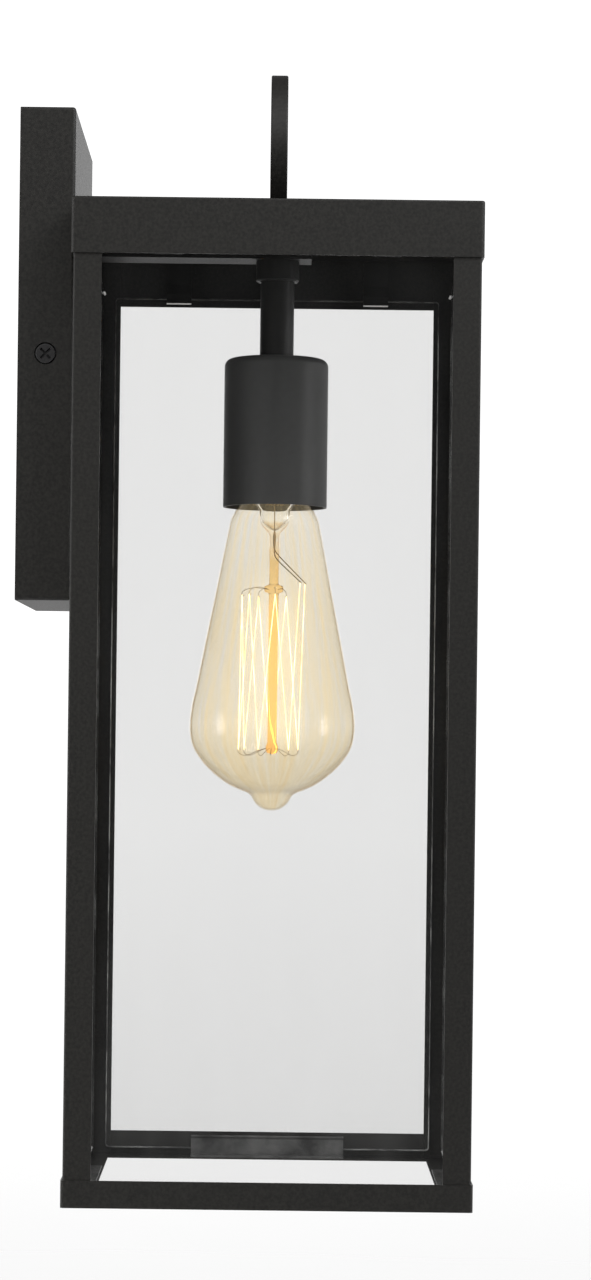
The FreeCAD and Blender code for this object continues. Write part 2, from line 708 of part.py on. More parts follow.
def top_clips():
    """Two sprung tabs to a side: down the roof's lip, in past the glass and over its top edge."""
    t = CLIP_SHEET
    lip = CAP_SIDE / 2 - CAP_SHEET
    root_low = GLASS_TOP_Z + 5.5
    tip = CAP_BOTTOM_Z + 0.4
    inner = GLASS_INNER - GLASS_GAP
    outline = [
        (lip, ROOF_UNDER_Z - 1.0),
        (lip, root_low),
        (inner, GLASS_TOP_Z + 1.2),
        (inner, tip + 1.2),
        (inner - 1.2, tip),
        (inner - 1.2 - t, tip + 0.5),
        (inner - t, tip + 1.7),
        (inner - t, GLASS_TOP_Z + 1.6),
        (lip - t, root_low + 0.5),
        (lip - t, ROOF_UNDER_Z - 1.0),
    ]
    clips = []
    for offset in (-TOP_CLIP_OFFSET, TOP_CLIP_OFFSET):
        clips += four_sides(clip_profile(outline, TOP_CLIP_W, AXIS_Y + offset))
    return group(clips)


def bottom_clips():
    """One wide strip to a side, spot-welded to the flange, holding the foot of the glass."""
    t = CLIP_SHEET
    inner = GLASS_INNER - GLASS_GAP
    foot = BAND_SIDE / 2 - BAND_FLANGE + 0.6
    top = FLANGE_TOP_Z + BOTTOM_CLIP_H
    outline = [
        (inner, FLANGE_TOP_Z),
        (inner, top - 1.0),
        (inner - 0.8, top),
        (inner - 0.8 - t, top - 0.5),
        (inner - t, top - 1.4),
        (inner - t, FLANGE_TOP_Z + t),
        (foot, FLANGE_TOP_Z + t),
        (foot, FLANGE_TOP_Z),
    ]
    return group(four_sides(clip_profile(outline, BOTTOM_CLIP_W, AXIS_Y)))


# ---- Bulb ----------------------------------------------------------------------------------------

PIP_R = 7.7
PIP_JOIN_DROP = 112.0
PIP_BLEND = 3.6
PIP_BLEND_START = math.radians(12)


def bulb_outline():
    """Outer edge of the glass down to the pip, as (radius, drop below the holder's rim)."""
    return [
        (11.4, -5.6),
        (11.6, -3.8),
        (12.6, -1.7),
        (15.0, 1.2),
        (BULB_NECK_R, 4.6),
        (17.9, 9.0),
        (19.65, 17.8),
        (23.05, 35.5),
        (26.3, 52.0),
        (29.6, 69.0),
        (31.2, 76.5),
        (BULB_MAX_R, 84.5),
        (30.8, 92.0),
        (27.1, 98.1),
        (22.7, 102.6),
        (17.0, 106.8),
    ]


def at_drop(radius, drop):
    return Vector(radius, AXIS_Y, RIM_Z - drop)


def glass_edges(inset):
    """The outer edge moved in by inset: a spline, a hollow blend and the round pip at the tip."""
    pip_centre = BULB_TIP_DROP - PIP_R
    down = PIP_JOIN_DROP - pip_centre
    join_r = math.sqrt(PIP_R ** 2 - down ** 2)
    join_slope = math.atan2(join_r, down)
    chord_slope = (PIP_BLEND_START + join_slope) / 2
    start_r = join_r + PIP_BLEND * math.cos(chord_slope)
    start_drop = PIP_JOIN_DROP - PIP_BLEND * math.sin(chord_slope)
    blend_r = PIP_BLEND / 2 / math.sin((join_slope - PIP_BLEND_START) / 2)
    blend_x = start_r + blend_r * math.sin(PIP_BLEND_START)
    blend_drop = start_drop + blend_r * math.cos(PIP_BLEND_START)

    outline = [at_drop(r, drop) for r, drop in bulb_outline()] + [at_drop(start_r, start_drop)]
    first_way = Vector(0, 0, -1)
    last_way = Vector(-math.cos(PIP_BLEND_START), 0, -math.sin(PIP_BLEND_START))
    curve = Part.BSplineCurve()
    curve.interpolate(outline, InitialTangent=first_way, FinalTangent=last_way, Scale=False)
    moved = []
    for point in outline:
        way = curve.tangent(curve.parameter(point))[0]
        moved.append(point + Vector(way.z, 0, -way.x) * inset)
    curve.interpolate(moved, InitialTangent=first_way, FinalTangent=last_way, Scale=False)

    def on_blend(slope):
        reach = blend_r + inset
        return at_drop(blend_x - reach * math.sin(slope), blend_drop - reach * math.cos(slope))

    def on_pip(slope):
        reach = PIP_R - inset
        return at_drop(reach * math.sin(slope), pip_centre + reach * math.cos(slope))

    blend = Part.Arc(moved[-1], on_blend(chord_slope), on_pip(join_slope))
    pip = Part.Arc(on_pip(join_slope), on_pip(join_slope / 2), on_pip(0))
    return [curve.toShape(), blend.toShape(), pip.toShape()], moved[0], on_pip(0)


def glass_solid(inset):
    edges, neck, tip = glass_edges(inset)
    neck_centre = Vector(0, AXIS_Y, neck.z)
    edges.append(Part.LineSegment(tip, neck_centre).toShape())
    edges.append(Part.LineSegment(neck_centre, neck).toShape())
    return Part.Face(Part.Wire(edges)).revolve(Vector(0, AXIS_Y, 0), Vector(0, 0, 1), 360)


def bulb_envelope():
    return glass_solid(0).cut(glass_solid(BULB_GLASS_T))


BASE_BOTTOM_Z = RIM_Z + 1.5
BASE_THREAD_TOP_Z = BASE_BOTTOM_Z + 0.8 + BASE_TURNS * THREAD_PITCH
BASE_TOP_Z = BASE_THREAD_TOP_Z + 1.2


def base_edge(shrink):
    """The base's outer edge as (radius, z), a rounded ridge for each turn of thread."""
    steps = 6
    points = [(BASE_R + BASE_RIDGE - 0.1 - shrink, BASE_BOTTOM_Z)]
    for k in range(BASE_TURNS * steps + 1):
        wave = math.cos(2 * math.pi * k / steps)
        z = BASE_BOTTOM_Z + 0.8 + THREAD_PITCH * k / steps
        points.append((BASE_R + BASE_RIDGE / 2 * wave - shrink, z))
    points.append((BASE_R - 1.6 - shrink, BASE_TOP_Z - shrink))
    return points


def bulb_base():
    outside = base_edge(0)
    inside = base_edge(BASE_SHEET)[::-1]
    return revolve(outside + [(7.0, BASE_TOP_Z), (7.0, BASE_TOP_Z - BASE_SHEET)] + inside)


INSULATOR_TOP_Z = BASE_TOP_Z + 2.6
TIP_TOP_Z = INSULATOR_TOP_Z + 1.0


def bulb_insulator():
    return revolve(
        [
            (4.6, INSULATOR_TOP_Z),
            (8.6, BASE_TOP_Z),
            (7.0, BASE_TOP_Z),
            (7.0, BASE_TOP_Z - BASE_SHEET),
            (3.0, BASE_TOP_Z - BASE_SHEET),
            (3.0, INSULATOR_TOP_Z),
        ]
    )


def bulb_contact():
    return revolve(
        [
            (0, BASE_TOP_Z - BASE_SHEET),
            (3.0, BASE_TOP_Z - BASE_SHEET),
            (3.0, INSULATOR_TOP_Z),
            (4.4, INSULATOR_TOP_Z),
            (3.6, INSULATOR_TOP_Z + 0.6),
            (1.8, TIP_TOP_Z),
            (0, TIP_TOP_Z),
        ]
    )


STEM_FLARE_R = 5.7
STEM_ROD_R = 1.95
STEM_PINCH_DROP = 17.0
HOOK_DISC_R = 4.2
HOOK_KNOB_R = 2.5


def glass_stem():
    """Flared glass tube pinched to a rod that carries the filament."""
    return revolve(
        [
            (0, RIM_Z + 3.0),
            (10.2, RIM_Z + 4.4),
            (10.2, RIM_Z + 3.6),
            (STEM_FLARE_R + 1.5, RIM_Z + 0.9),
            (STEM_FLARE_R, RIM_Z - 1.5),
            (STEM_FLARE_R, RIM_Z - 7.5),
            (STEM_ROD_R + 0.7, RIM_Z - 12.5),
            (STEM_ROD_R + 0.9, RIM_Z - STEM_PINCH_DROP),
            (STEM_ROD_R, RIM_Z - STEM_PINCH_DROP - 1.5),
            (STEM_ROD_R, RIM_Z - FILAMENT_TOP_DROP + 2.8),
            (HOOK_DISC_R, RIM_Z - FILAMENT_TOP_DROP + 2.2),
            (HOOK_DISC_R, RIM_Z - FILAMENT_TOP_DROP + 0.6),
            (STEM_ROD_R, RIM_Z - FILAMENT_TOP_DROP),
            (STEM_ROD_R, RIM_Z - FILAMENT_BOTTOM_DROP + 2.0),
            (HOOK_KNOB_R, RIM_Z - FILAMENT_BOTTOM_DROP + 0.8),
            (HOOK_KNOB_R, RIM_Z - FILAMENT_BOTTOM_DROP - 0.8),
            (0, RIM_Z - FILAMENT_BOTTOM_DROP - 1.6),
        ]
    )


def cage_point(index, radius, drop):
    """A point on the filament's round cage; odd and even points alternate bottom and top."""
    angle = math.radians(FILAMENT_START) - math.pi * index / FILAMENT_LOOPS
    return Vector(radius * math.cos(angle), AXIS_Y + radius * math.sin(angle), RIM_Z - drop)


def filament():
    """One thin wire zigzagging between the top and bottom hooks."""
    points = []
    for index in range(2 * FILAMENT_LOOPS - 1):
        if index % 2 == 0:
            points.append(cage_point(index, FILAMENT_TOP_R, FILAMENT_TOP_DROP))
        else:
            points.append(cage_point(index, FILAMENT_BOTTOM_R, FILAMENT_BOTTOM_DROP))
    wire = None
    for start, end in zip(points, points[1:]):
        run = rod(FILAMENT_R, start, end)
        knee = Part.makeSphere(FILAMENT_R, end)
        run = run.fuse(knee)
        wire = run if wire is None else wire.fuse(run)
    return wire


def filament_supports():
    """Hooked wires that spread from the glass rod to the filament's bends, top and bottom."""
    wires = []
    for index in range(1, 2 * FILAMENT_LOOPS - 2):
        top = index % 2 == 0
        drop = FILAMENT_TOP_DROP - 1.5 if top else FILAMENT_BOTTOM_DROP
        radius = FILAMENT_TOP_R if top else FILAMENT_BOTTOM_R
        hub_r = HOOK_DISC_R + 0.1 if top else HOOK_KNOB_R + 0.1
        end_drop = FILAMENT_TOP_DROP if top else FILAMENT_BOTTOM_DROP
        hook = 0.45 if top else -0.45
        start = cage_point(index, hub_r, drop)
        end = cage_point(index, radius - FILAMENT_R, end_drop - hook)
        wires.append(rod(SUPPORT_R, start, end))
    return group(wires)


def bulb_leads():
    """Two wires that slant out from the pinch to the filament's ends."""
    wires = []
    for index in (0, 2 * FILAMENT_LOOPS - 2):
        end = cage_point(index, FILAMENT_TOP_R, FILAMENT_TOP_DROP)
        direction = Vector(end.x, end.y - AXIS_Y, 0).normalize()
        start = Vector(0, AXIS_Y, RIM_Z - STEM_PINCH_DROP) + direction * (STEM_ROD_R + 1.3)
        wires.append(rod(SUPPORT_R + 0.1, start, end + Vector(0, 0, FILAMENT_R)))
    return group(wires)


# ---- Output --------------------------------------------------------------------------------------

def parts():
    panels = four_sides(glass_panel())
    return {
        "backplate": backplate(),
        "wall_gasket": wall_gasket(),
        "crossbar": crossbar(),
        "side_screws": side_screws(),
        "ground_screw": ground_screw(),
        "ground_wire": ground_wire(),
        "wire_nuts": wire_nuts(),
        "lead_black": lead(-1),
        "lead_white": lead(1),
        "grommet": grommet(),
        "fixing_screws": fixing_screws(),
        "fixing_nuts": fixing_nuts(),
        "arm_strap": arm_strap(),
        "roof_cap": roof_cap(),
        "loop_ring": loop_ring(),
        "loop_screw": loop_screw(),
        "nipple": nipple(),
        "locknut": locknut(),
        "collar": collar(),
        "stem_tube": stem_tube(),
        "cup_nut": cup_nut(),
        "socket_bridge": socket_bridge(),
        "socket_cup": socket_cup(),
        "socket_body": socket_body(),
        "socket_shell": socket_shell(),
        "socket_contact": socket_contact(),
        "terminal_screws": terminal_screws(),
        "post_front_left": post(-1, -1),
        "post_front_right": post(1, -1),
        "post_wall_left": post(-1, 1),
        "post_wall_right": post(1, 1),
        "bottom_frame": bottom_frame(),
        "glass_right": panels[0],
        "glass_wall": panels[1],
        "glass_left": panels[2],
        "glass_front": panels[3],
        "top_clips": top_clips(),
        "bottom_clips": bottom_clips(),
        "bulb_envelope": bulb_envelope(),
        "bulb_base": bulb_base(),
        "bulb_insulator": bulb_insulator(),
        "bulb_contact": bulb_contact(),
        "glass_stem": glass_stem(),
        "filament": filament(),
        "filament_supports": filament_supports(),
        "bulb_leads": bulb_leads(),
    }


def main():
    os.makedirs("parts", exist_ok=True)
    for name, shape in parts().items():
        shape.exportStep(os.path.join("parts", name + ".step"))
        print(name, "valid", shape.isValid(), "solids", len(shape.Solids), "volume", round(shape.Volume, 1))


main()
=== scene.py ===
import math

import bmesh
import bpy
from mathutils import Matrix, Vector
from mathutils.geometry import interpolate_bezier


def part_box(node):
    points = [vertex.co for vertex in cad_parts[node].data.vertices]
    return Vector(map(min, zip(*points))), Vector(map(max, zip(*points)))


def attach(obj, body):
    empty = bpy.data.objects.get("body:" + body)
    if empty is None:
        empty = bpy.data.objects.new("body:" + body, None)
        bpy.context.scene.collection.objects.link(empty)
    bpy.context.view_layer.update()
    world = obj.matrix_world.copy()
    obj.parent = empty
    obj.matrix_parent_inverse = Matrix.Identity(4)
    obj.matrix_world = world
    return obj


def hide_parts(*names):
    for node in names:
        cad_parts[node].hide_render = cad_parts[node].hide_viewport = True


# The lantern's looks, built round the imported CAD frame. +Z is up, the wall's face is at Y = 0 and the lantern
# stands out from it towards -Y.
# Shapes are worked out in millimetres and turned into metres when a mesh or curve is made.

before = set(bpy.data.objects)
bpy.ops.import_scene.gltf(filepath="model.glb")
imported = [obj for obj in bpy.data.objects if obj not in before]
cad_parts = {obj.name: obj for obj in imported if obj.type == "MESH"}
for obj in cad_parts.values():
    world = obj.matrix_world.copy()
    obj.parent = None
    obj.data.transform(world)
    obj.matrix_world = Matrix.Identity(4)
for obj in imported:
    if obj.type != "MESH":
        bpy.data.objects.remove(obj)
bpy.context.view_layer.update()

# ---- Driving dimensions, mm -------------------------------------------------------------------

MM = 0.001

# Glass panels
PANE_CORNER_R = 1.5
PANE_ARRIS = 0.35
PANE_ARRIS_MIDDLE = 0.29

# Bulb: outline as (radius, drop below the cup's rim), from the neck to the tip
BULB_OUTLINE = [
    (11.4, -5.5),
    (11.6, -3.8),
    (12.6, -1.7),
    (15.0, 1.2),
    (16.9, 4.6),
    (17.9, 9.0),
    (19.65, 17.8),
    (23.05, 35.5),
    (26.3, 52.0),
    (29.6, 69.0),
    (31.2, 76.5),
    (31.95, 84.5),
    (30.8, 92.0),
    (27.1, 98.1),
    (22.7, 102.6),
    (17.0, 106.8),
    (12.3, 109.0),
    (9.2, 110.2),
    (7.8, 111.4),
    (7.1, 112.7),
    (6.0, 114.3),
    (3.8, 116.0),
    (1.6, 116.7),
    (0.0, 116.75),
]
BULB_WALL = 0.5
BULB_SEGMENTS = 144
BULB_STEPS = 5

# Screw base and socket shell
THREAD_PITCH = 3.629
BASE_R = 12.5
BASE_RIDGE = 0.72
BASE_SHEET = 0.3
SHELL_R = 13.35
SHELL_RIDGE = 0.6
SHELL_SHEET = 0.35
NIPPLE_PITCH = 1.0
NIPPLE_RIDGE = 0.45
NIPPLE_SHEET = 1.2

# Glass stem, as (half width X, half width Y, drop): up inside its tube, over the flare and down outside, the
# flat press, then the rod with its knobs
STEM_SECTIONS = [
    (0.0, 0.0, 9.0),
    (1.8, 1.0, 8.5),
    (3.9, 2.9, 7.0),
    (4.8, 4.4, 5.6),
    (4.9, 4.9, 4.2),
    (4.9, 4.9, 1.0),
    (6.4, 6.4, -1.4),
    (9.4, 9.4, -3.9),
    (10.0, 10.0, -4.3),
    (10.1, 10.1, -3.9),
    (7.2, 7.2, -0.8),
    (5.8, 5.8, 1.4),
    (5.7, 5.7, 4.2),
    (5.6, 5.5, 5.9),
    (5.4, 4.7, 7.3),
    (5.1, 3.3, 8.8),
    (4.8, 2.2, 10.0),
    (4.6, 1.8, 11.2),
    (4.4, 1.8, 13.4),
    (4.2, 1.8, 15.4),
    (3.0, 2.0, 16.8),
    (1.9, 1.9, 18.0),
    (1.8, 1.8, 22.0),
    (1.8, 1.8, 29.4),
    (2.3, 2.3, 29.9),
    (3.5, 3.5, 30.3),
    (3.7, 3.7, 31.0),
    (3.7, 3.7, 32.0),
    (3.4, 3.4, 32.6),
    (2.2, 2.2, 33.0),
    (1.9, 1.9, 33.6),
    (1.8, 1.8, 60.0),
    (1.8, 1.8, 90.6),
    (2.1, 2.1, 91.3),
    (2.4, 2.4, 92.2),
    (2.4, 2.4, 93.6),
    (1.9, 1.9, 94.6),
    (0.0, 0.0, 95.1),
]

# Screw base's shoulder, as (inset from the base's radius, height above its thread)
SHOULDER_H = 1.2
SHOULDER = [
    (0.0, 0.0),
    (0.25, 0.55),
    (1.2, 1.08),
    (2.2, 1.2),
    (5.1, 1.2),
    (5.1, 0.9),
    (2.2, 0.9),
    (1.3, 0.78),
    (0.55, 0.4),
    (0.3, 0.0),
]

# Filament cage
CAGE_LOOPS = 7
CAGE_START = -126.0
CAGE_TOP_R = 12.4
CAGE_TOP_DROP = 33.5
CAGE_BOTTOM_R = 13.4
CAGE_BOTTOM_DROP = 93.6
STRAND_R = 0.16
STRAND_BEND = 1.1
SUPPORT_R = 0.10

# Hooks: their roots on the stem as (radius, drop); their shape from the root and from the strand's bend,
# as (outward, towards the cage's middle)
HOOK_TOP_ROOT = (3.4, 31.4)
HOOK_FOOT_ROOT = (2.1, 92.8)
HOOK_START = [(0.0, 0.0), (3.0, -0.6)]
HOOK_END = [(-3.0, -2.4), (-0.4, -1.44), (0.3, -0.24), (-0.2, 0.8), (-0.9, 0.2)]

# Leads: their run down the stem's tube, as (distance from the axis, drop); then the pinch and the way out
LEAD_R = 0.2
LEAD_RUN = [(2.08, -4.0), (1.56, 3.0), (1.3, 9.0), (1.3, 14.0)]
LEAD_PINCH_X = 0.78
LEAD_PINCH_LIFT = 2.0
LEAD_EXIT_R = 1.6
LEAD_EXIT_DROPS = (20.4, 18.4)
LEAD_END_OUT = 0.5
LEAD_END_DROP = 29.2

# How finely round shapes are cut, the width that counts as a point, and the turn in degrees past which an
# edge stays sharp
ROUND_SEGMENTS = 96
STEM_SEGMENTS = 48
NO_WIDTH = 1e-6
SOFT_CREASE = 42.0
PANE_CREASE = 12.0
STEM_CREASE = 75.0

# Powder coat: colours, linear, the span of noise they blend over, and heights of its relief
COAT_DARK = (0.0056, 0.0053, 0.0045)
COAT_LIGHT = (0.0148, 0.0140, 0.0122)
COAT_SPAN = (0.36, 0.64)
COAT_ROUGH = (0.42, 0.54)
COAT_PEEL = 0.0016
COAT_GRAIN = 0.0006

# Height of the grit on the clips and the panes' edges
GRIT_HEIGHT = 0.02

# Share of soft light the lamp cup's enamel catches where it curves away
CUP_SHEEN = 0.12

# Clips: colours, linear; the bottom strips get a much paler mottle than the top tabs
TAB_DARK = (0.010, 0.010, 0.010)
TAB_LIGHT = (0.020, 0.020, 0.019)
STRIP_DARK = (0.035, 0.035, 0.035)
STRIP_LIGHT = (0.150, 0.150, 0.148)
CLIP_STEEL = (0.95, 0.94, 0.92)
CLIP_ROUGH = (0.28, 0.44)

# Clips: height of the bare edge and how it fades, how far below the tabs it may reach, and how far inside
# the panes' inner faces it ends
CLIP_BARE = 0.45
CLIP_BARE_FADE = 0.15
CLIP_BARE_LOWEST = 1.0
CLIP_MASK_FADE = 0.1
CLIP_END = 1.5

# Panes: colours, height of their waves, the share hazed at the foot and higher up, and the foot haze's reach
PANE_TINT_DARK = (0.926, 0.926, 0.925)
PANE_TINT_LIGHT = (0.932, 0.932, 0.931)
PANE_DUST = (0.80, 0.80, 0.79)
PANE_WAVE = 0.12
HAZE_FOOT = 0.013
HAZE_TOP = 0.004
HAZE_REACH = 110.0
HAZE_RUNS = (0.3, 1.7)

# Pane edges, linear
EDGE_DULL = (0.10, 0.10, 0.10)
EDGE_BRIGHT = (0.66, 0.67, 0.65)
EDGE_SPAN = (0.44, 0.66)
EDGE_ROUGH = (0.3, 0.6)

# Sheer glass: its mirror share face on, and how it grows with the slant
FACING_BLEND = 0.5
GLASS_MIRROR = 0.04
GLASS_SLANT_POWER = 5.0

# Bulb glass: how much film at the neck, the middle and the tip, how far streaks change it, and its colours
FILM_NECK = 0.27
FILM_MIDDLE = 0.50
FILM_TIP = 0.68
FILM_STREAK = 0.26
FILM_STREAK_SPAN = (0.36, 0.64)
FILM_THIN = (1.0, 1.0, 1.0)
FILM_THICK = (0.965, 0.910, 0.790)
FILM_RIM = (0.93, 0.79, 0.56)
FILM_RIM_SPAN = (0.80, 0.97)
STREAK_SCALE = 11.0
STREAK_RELIEF = 0.1
STREAK_STRETCH = 2.0

# Bulb glass: painted glow, emission on the glass standing in for the filament's light in it, hazed along the
# streaks and gathered in a halo round the filament
GLASS_PAINTED_GLOW = 0.055
GLASS_PAINTED_GLOW_SPAN = (0.38, 0.62)
GLASS_PAINTED_GLOW_TIP = 0.3
GLASS_PAINTED_HALO = 0.08
PAINTED_HALO_POWER = 9.0
PAINTED_GLOW_COLOUR = (1.0, 0.82, 0.48)

# Bulb glass: pairs of drops that a change runs between, lower one first
FILM_NECK_DROPS = (40.0, 0.0)
FILM_TIP_DROPS = (104.0, 84.0)
PAINTED_HALO_TOP_DROPS = (44.0, 22.0)
PAINTED_HALO_TIP_DROPS = (106.0, 84.0)

# Stem glass: rod, press and flare, faces and slanted edges, and the lit colour and glow painted on the rod
# inside the cage
ROD_PALE = (0.99, 0.78, 0.42)
ROD_DEEP = (0.98, 0.68, 0.30)
ROD_EDGE = (0.85, 0.50, 0.20)
ROD_PAINTED_LIT = (0.98, 0.62, 0.23)
PRESS_PALE = (1.0, 0.98, 0.94)
PRESS_DEEP = (0.97, 0.84, 0.64)
PRESS_EDGE = (0.60, 0.26, 0.07)
PRESS_POOLS = (0.42, 0.60)
FLARE_CLEAR = (1.0, 1.0, 0.99)
FLARE_EDGE = (0.95, 0.93, 0.90)
ROD_PAINTED_GLOW = 0.13
ROD_PAINTED_GLOW_COLOUR = (1.0, 0.50, 0.10)
STEM_EDGE_SPAN = (0.35, 0.85)
PRESS_EDGE_SPAN = (0.55, 0.90)
STEM_ROUGH = (0.0, 0.04)
STEM_RELIEF = 0.05

# Stem glass: pairs of drops that a change runs between, lower one first
PRESS_DROPS = (6.6, 5.2)
ROD_DROPS = (21.0, 12.5)
CAGE_DROPS = (44.0, 33.0)

# Lit filament, linear, and how brightly it glows
THREAD_DEEP = (1.0, 0.72, 0.30)
THREAD_PALE = (1.0, 0.82, 0.46)
THREAD_CARBON = (0.05, 0.04, 0.035)
THREAD_GLOW = (2.6, 4.2)


# ---- Places read from the CAD frame ---------------------------------------------------------------

def box_mm(node):
    """A CAD node's lowest and highest corners, in millimetres."""
    low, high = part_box(node)
    return low / MM, high / MM


cup_low, cup_high = box_mm("socket_cup")
AXIS_Y = (cup_low.y + cup_high.y) / 2
RIM_Z = cup_low.z


def at_drop(drop):
    return RIM_Z - drop


# ---- Mesh and curve helpers -----------------------------------------------------------------------

def add_object(name, data):
    piece = bpy.data.objects.new(name, data)
    bpy.context.scene.collection.objects.link(piece)
    return piece


def mesh_piece(name, points, faces, crease=SOFT_CREASE):
    """A smooth-shaded object from points in millimetres. Edges that turn more than crease stay sharp."""
    shape = bmesh.new()
    corners = [shape.verts.new(Vector(point) * MM) for point in points]
    for face in faces:
        shape.faces.new([corners[index] for index in face])
    bmesh.ops.recalc_face_normals(shape, faces=shape.faces)
    mesh = bpy.data.meshes.new(name)
    shape.to_mesh(mesh)
    shape.free()
    mesh.shade_smooth()
    mesh.set_sharp_from_angle(angle=math.radians(crease))
    return add_object(name, mesh)


def stack(sections, segments, closed=False):
    """Rings of (half width X, half width Y, z) about the lantern's axis, joined by faces.

    A ring of no width becomes one point. A closed stack joins its last ring to its first.
    """
    points = []
    rings = []
    faces = []
    for half_x, half_y, z in sections:
        if half_x < NO_WIDTH:
            rings.append([len(points)] * segments)
            points.append((0, AXIS_Y, z))
            continue
        rings.append(list(range(len(points), len(points) + segments)))
        for k in range(segments):
            angle = 2 * math.pi * k / segments
            points.append((half_x * math.cos(angle), AXIS_Y + half_y * math.sin(angle), z))
    pairs = list(zip(rings, rings[1:]))
    if closed:
        pairs.append((rings[-1], rings[0]))
    for one, other in pairs:
        for k in range(segments):
            after = (k + 1) % segments
            corners = list(dict.fromkeys([one[k], one[after], other[after], other[k]]))
            if len(corners) > 2:
                faces.append(corners)
    return points, faces


def smooth_line(points, steps, last_way=None):
    """A smooth line through 2-D points, steps to each gap."""
    points = [Vector((x, y, 0)) for x, y in points]
    ways = []
    for before, after in zip(points[:1] + points[:-1], points[1:] + points[-1:]):
        ways.append((after - before).normalized())
    if last_way is not None:
        ways[-1] = Vector((last_way[0], last_way[1], 0))
    line = points[:1]
    for k in range(len(points) - 1):
        start, end = points[k], points[k + 1]
        reach = (end - start).length / 3
        leaving = start + ways[k] * reach
        arriving = end - ways[k + 1] * reach
        line += interpolate_bezier(start, leaving, arriving, end, steps + 1)[1:]
    return [(point.x, point.y) for point in line]


def inset_line(line, depth):
    """A line of (radius, drop) moved towards the axis by depth; the last point stays on the axis."""
    moved = []
    for k, (radius, drop) in enumerate(line):
        before = line[max(k - 1, 0)]
        after = line[min(k + 1, len(line) - 1)]
        along = Vector((after[0] - before[0], after[1] - before[1])).normalized()
        moved.append((max(radius - along.y * depth, 0.0), drop + along.x * depth))
    moved[-1] = (0.0, line[-1][1] - depth)
    return moved


def thread_tube(radius, ridge, sheet, z0, z1, pitch, turns_fade=0.6, segments=ROUND_SEGMENTS, steps=10):
    """A thin tube rolled into a right-hand thread: points and faces of its closed wall.

    The ridges fade out over turns_fade of a turn at each end; steps counts the levels to the turn.
    """
    levels = max(4, round((z1 - z0) / pitch * steps))
    points = []
    faces = []
    for side in (0, 1):
        for level in range(levels + 1):
            z = z0 + (z1 - z0) * level / levels
            room = min(z - z0, z1 - z) / (turns_fade * pitch)
            height = ridge / 2 * min(1.0, room)
            for k in range(segments):
                angle = 2 * math.pi * k / segments
                wave = height * math.cos(2 * math.pi * (z - RIM_Z) / pitch - angle)
                reach = radius + wave - side * sheet
                points.append((reach * math.cos(angle), AXIS_Y + reach * math.sin(angle), z))
    count = levels + 1

    def index(side, level, k):
        return (side * count + level) * segments + k % segments

    for k in range(segments):
        for level in range(levels):
            for side in (0, 1):
                faces.append([
                    index(side, level, k), index(side, level, k + 1),
                    index(side, level + 1, k + 1), index(side, level + 1, k),
                ])
        for level in (0, levels):
            faces.append([
                index(0, level, k), index(0, level, k + 1),
                index(1, level, k + 1), index(1, level, k),
            ])
    return points, faces


def join_shapes(*shapes):
    """Several (points, faces) pairs as one."""
    points = []
    faces = []
    for more_points, more_faces in shapes:
        offset = len(points)
        points += more_points
        faces += [[index + offset for index in face] for face in more_faces]
    return points, faces


def wire_piece(name, lines, radius, resolution=4, order=3):
    """One object of thin round wires, each a smooth line near its points in millimetres."""
    curve = bpy.data.curves.new(name, "CURVE")
    curve.dimensions = "3D"
    curve.bevel_depth = radius * MM
    curve.bevel_resolution = resolution
    curve.resolution_u = 6
    curve.use_fill_caps = True
    for line in lines:
        spline = curve.splines.new("NURBS")
        spline.points.add(len(line) - 1)
        for point, place in zip(spline.points, line):
            point.co = (*(Vector(place) * MM), 1.0)
        spline.order_u = order
        spline.use_endpoint_u = True
    return add_object(name, curve)


def place(piece, body, slot, material, *nodes):
    """Give a piece its material and the body it rides on, and hide the CAD nodes it stands for."""
    piece.data.materials.append(material)
    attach(piece, body)
    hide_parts(*nodes)
    return piece


# ---- Material helpers -----------------------------------------------------------------------------

def node(tree, kind, inputs=None, **settings):
    """A node with its settings, and its inputs set or linked."""
    made = tree.nodes.new(kind)
    for key, value in settings.items():
        setattr(made, key, value)
    for key, value in (inputs or {}).items():
        socket = made.inputs[key]
        if isinstance(value, bpy.types.NodeSocket):
            tree.links.new(value, socket)
        else:
            socket.default_value = value
    return made


def new_material(name):
    material = bpy.data.materials.new(name)
    material.use_nodes = True
    material.node_tree.nodes.clear()
    return material, material.node_tree


def output(tree, shader):
    node(tree, "ShaderNodeOutputMaterial", {"Surface": shader})


def noise(tree, scale, detail=3.0, roughness=0.5, stretch=(1, 1, 1)):
    """Noise over the object's own coordinates; scale counts features to the metre."""
    where = own_place(tree)
    if stretch != (1, 1, 1):
        where = node(tree, "ShaderNodeMapping", {"Vector": where, "Scale": stretch}).outputs["Vector"]
    made = node(
        tree,
        "ShaderNodeTexNoise",
        {"Vector": where, "Scale": scale, "Detail": detail, "Roughness": roughness},
    )
    return made.outputs["Fac"]


def spread(tree, factor, low, high, start=0.3, end=0.7):
    """Factor's range from start to end laid over low to high."""
    made = node(
        tree,
        "ShaderNodeMapRange",
        {"Value": factor, "From Min": start, "From Max": end, "To Min": low, "To Max": high},
    )
    return made.outputs["Result"]


def either_or(tree, choice, one, other):
    """One where choice is 1, other where it is 0."""
    made = node(tree, "ShaderNodeMix", {0: choice}, data_type="FLOAT")
    for key, value in ((2, other), (3, one)):
        if isinstance(value, bpy.types.NodeSocket):
            tree.links.new(value, made.inputs[key])
        else:
            made.inputs[key].default_value = value
    return made.outputs[0]


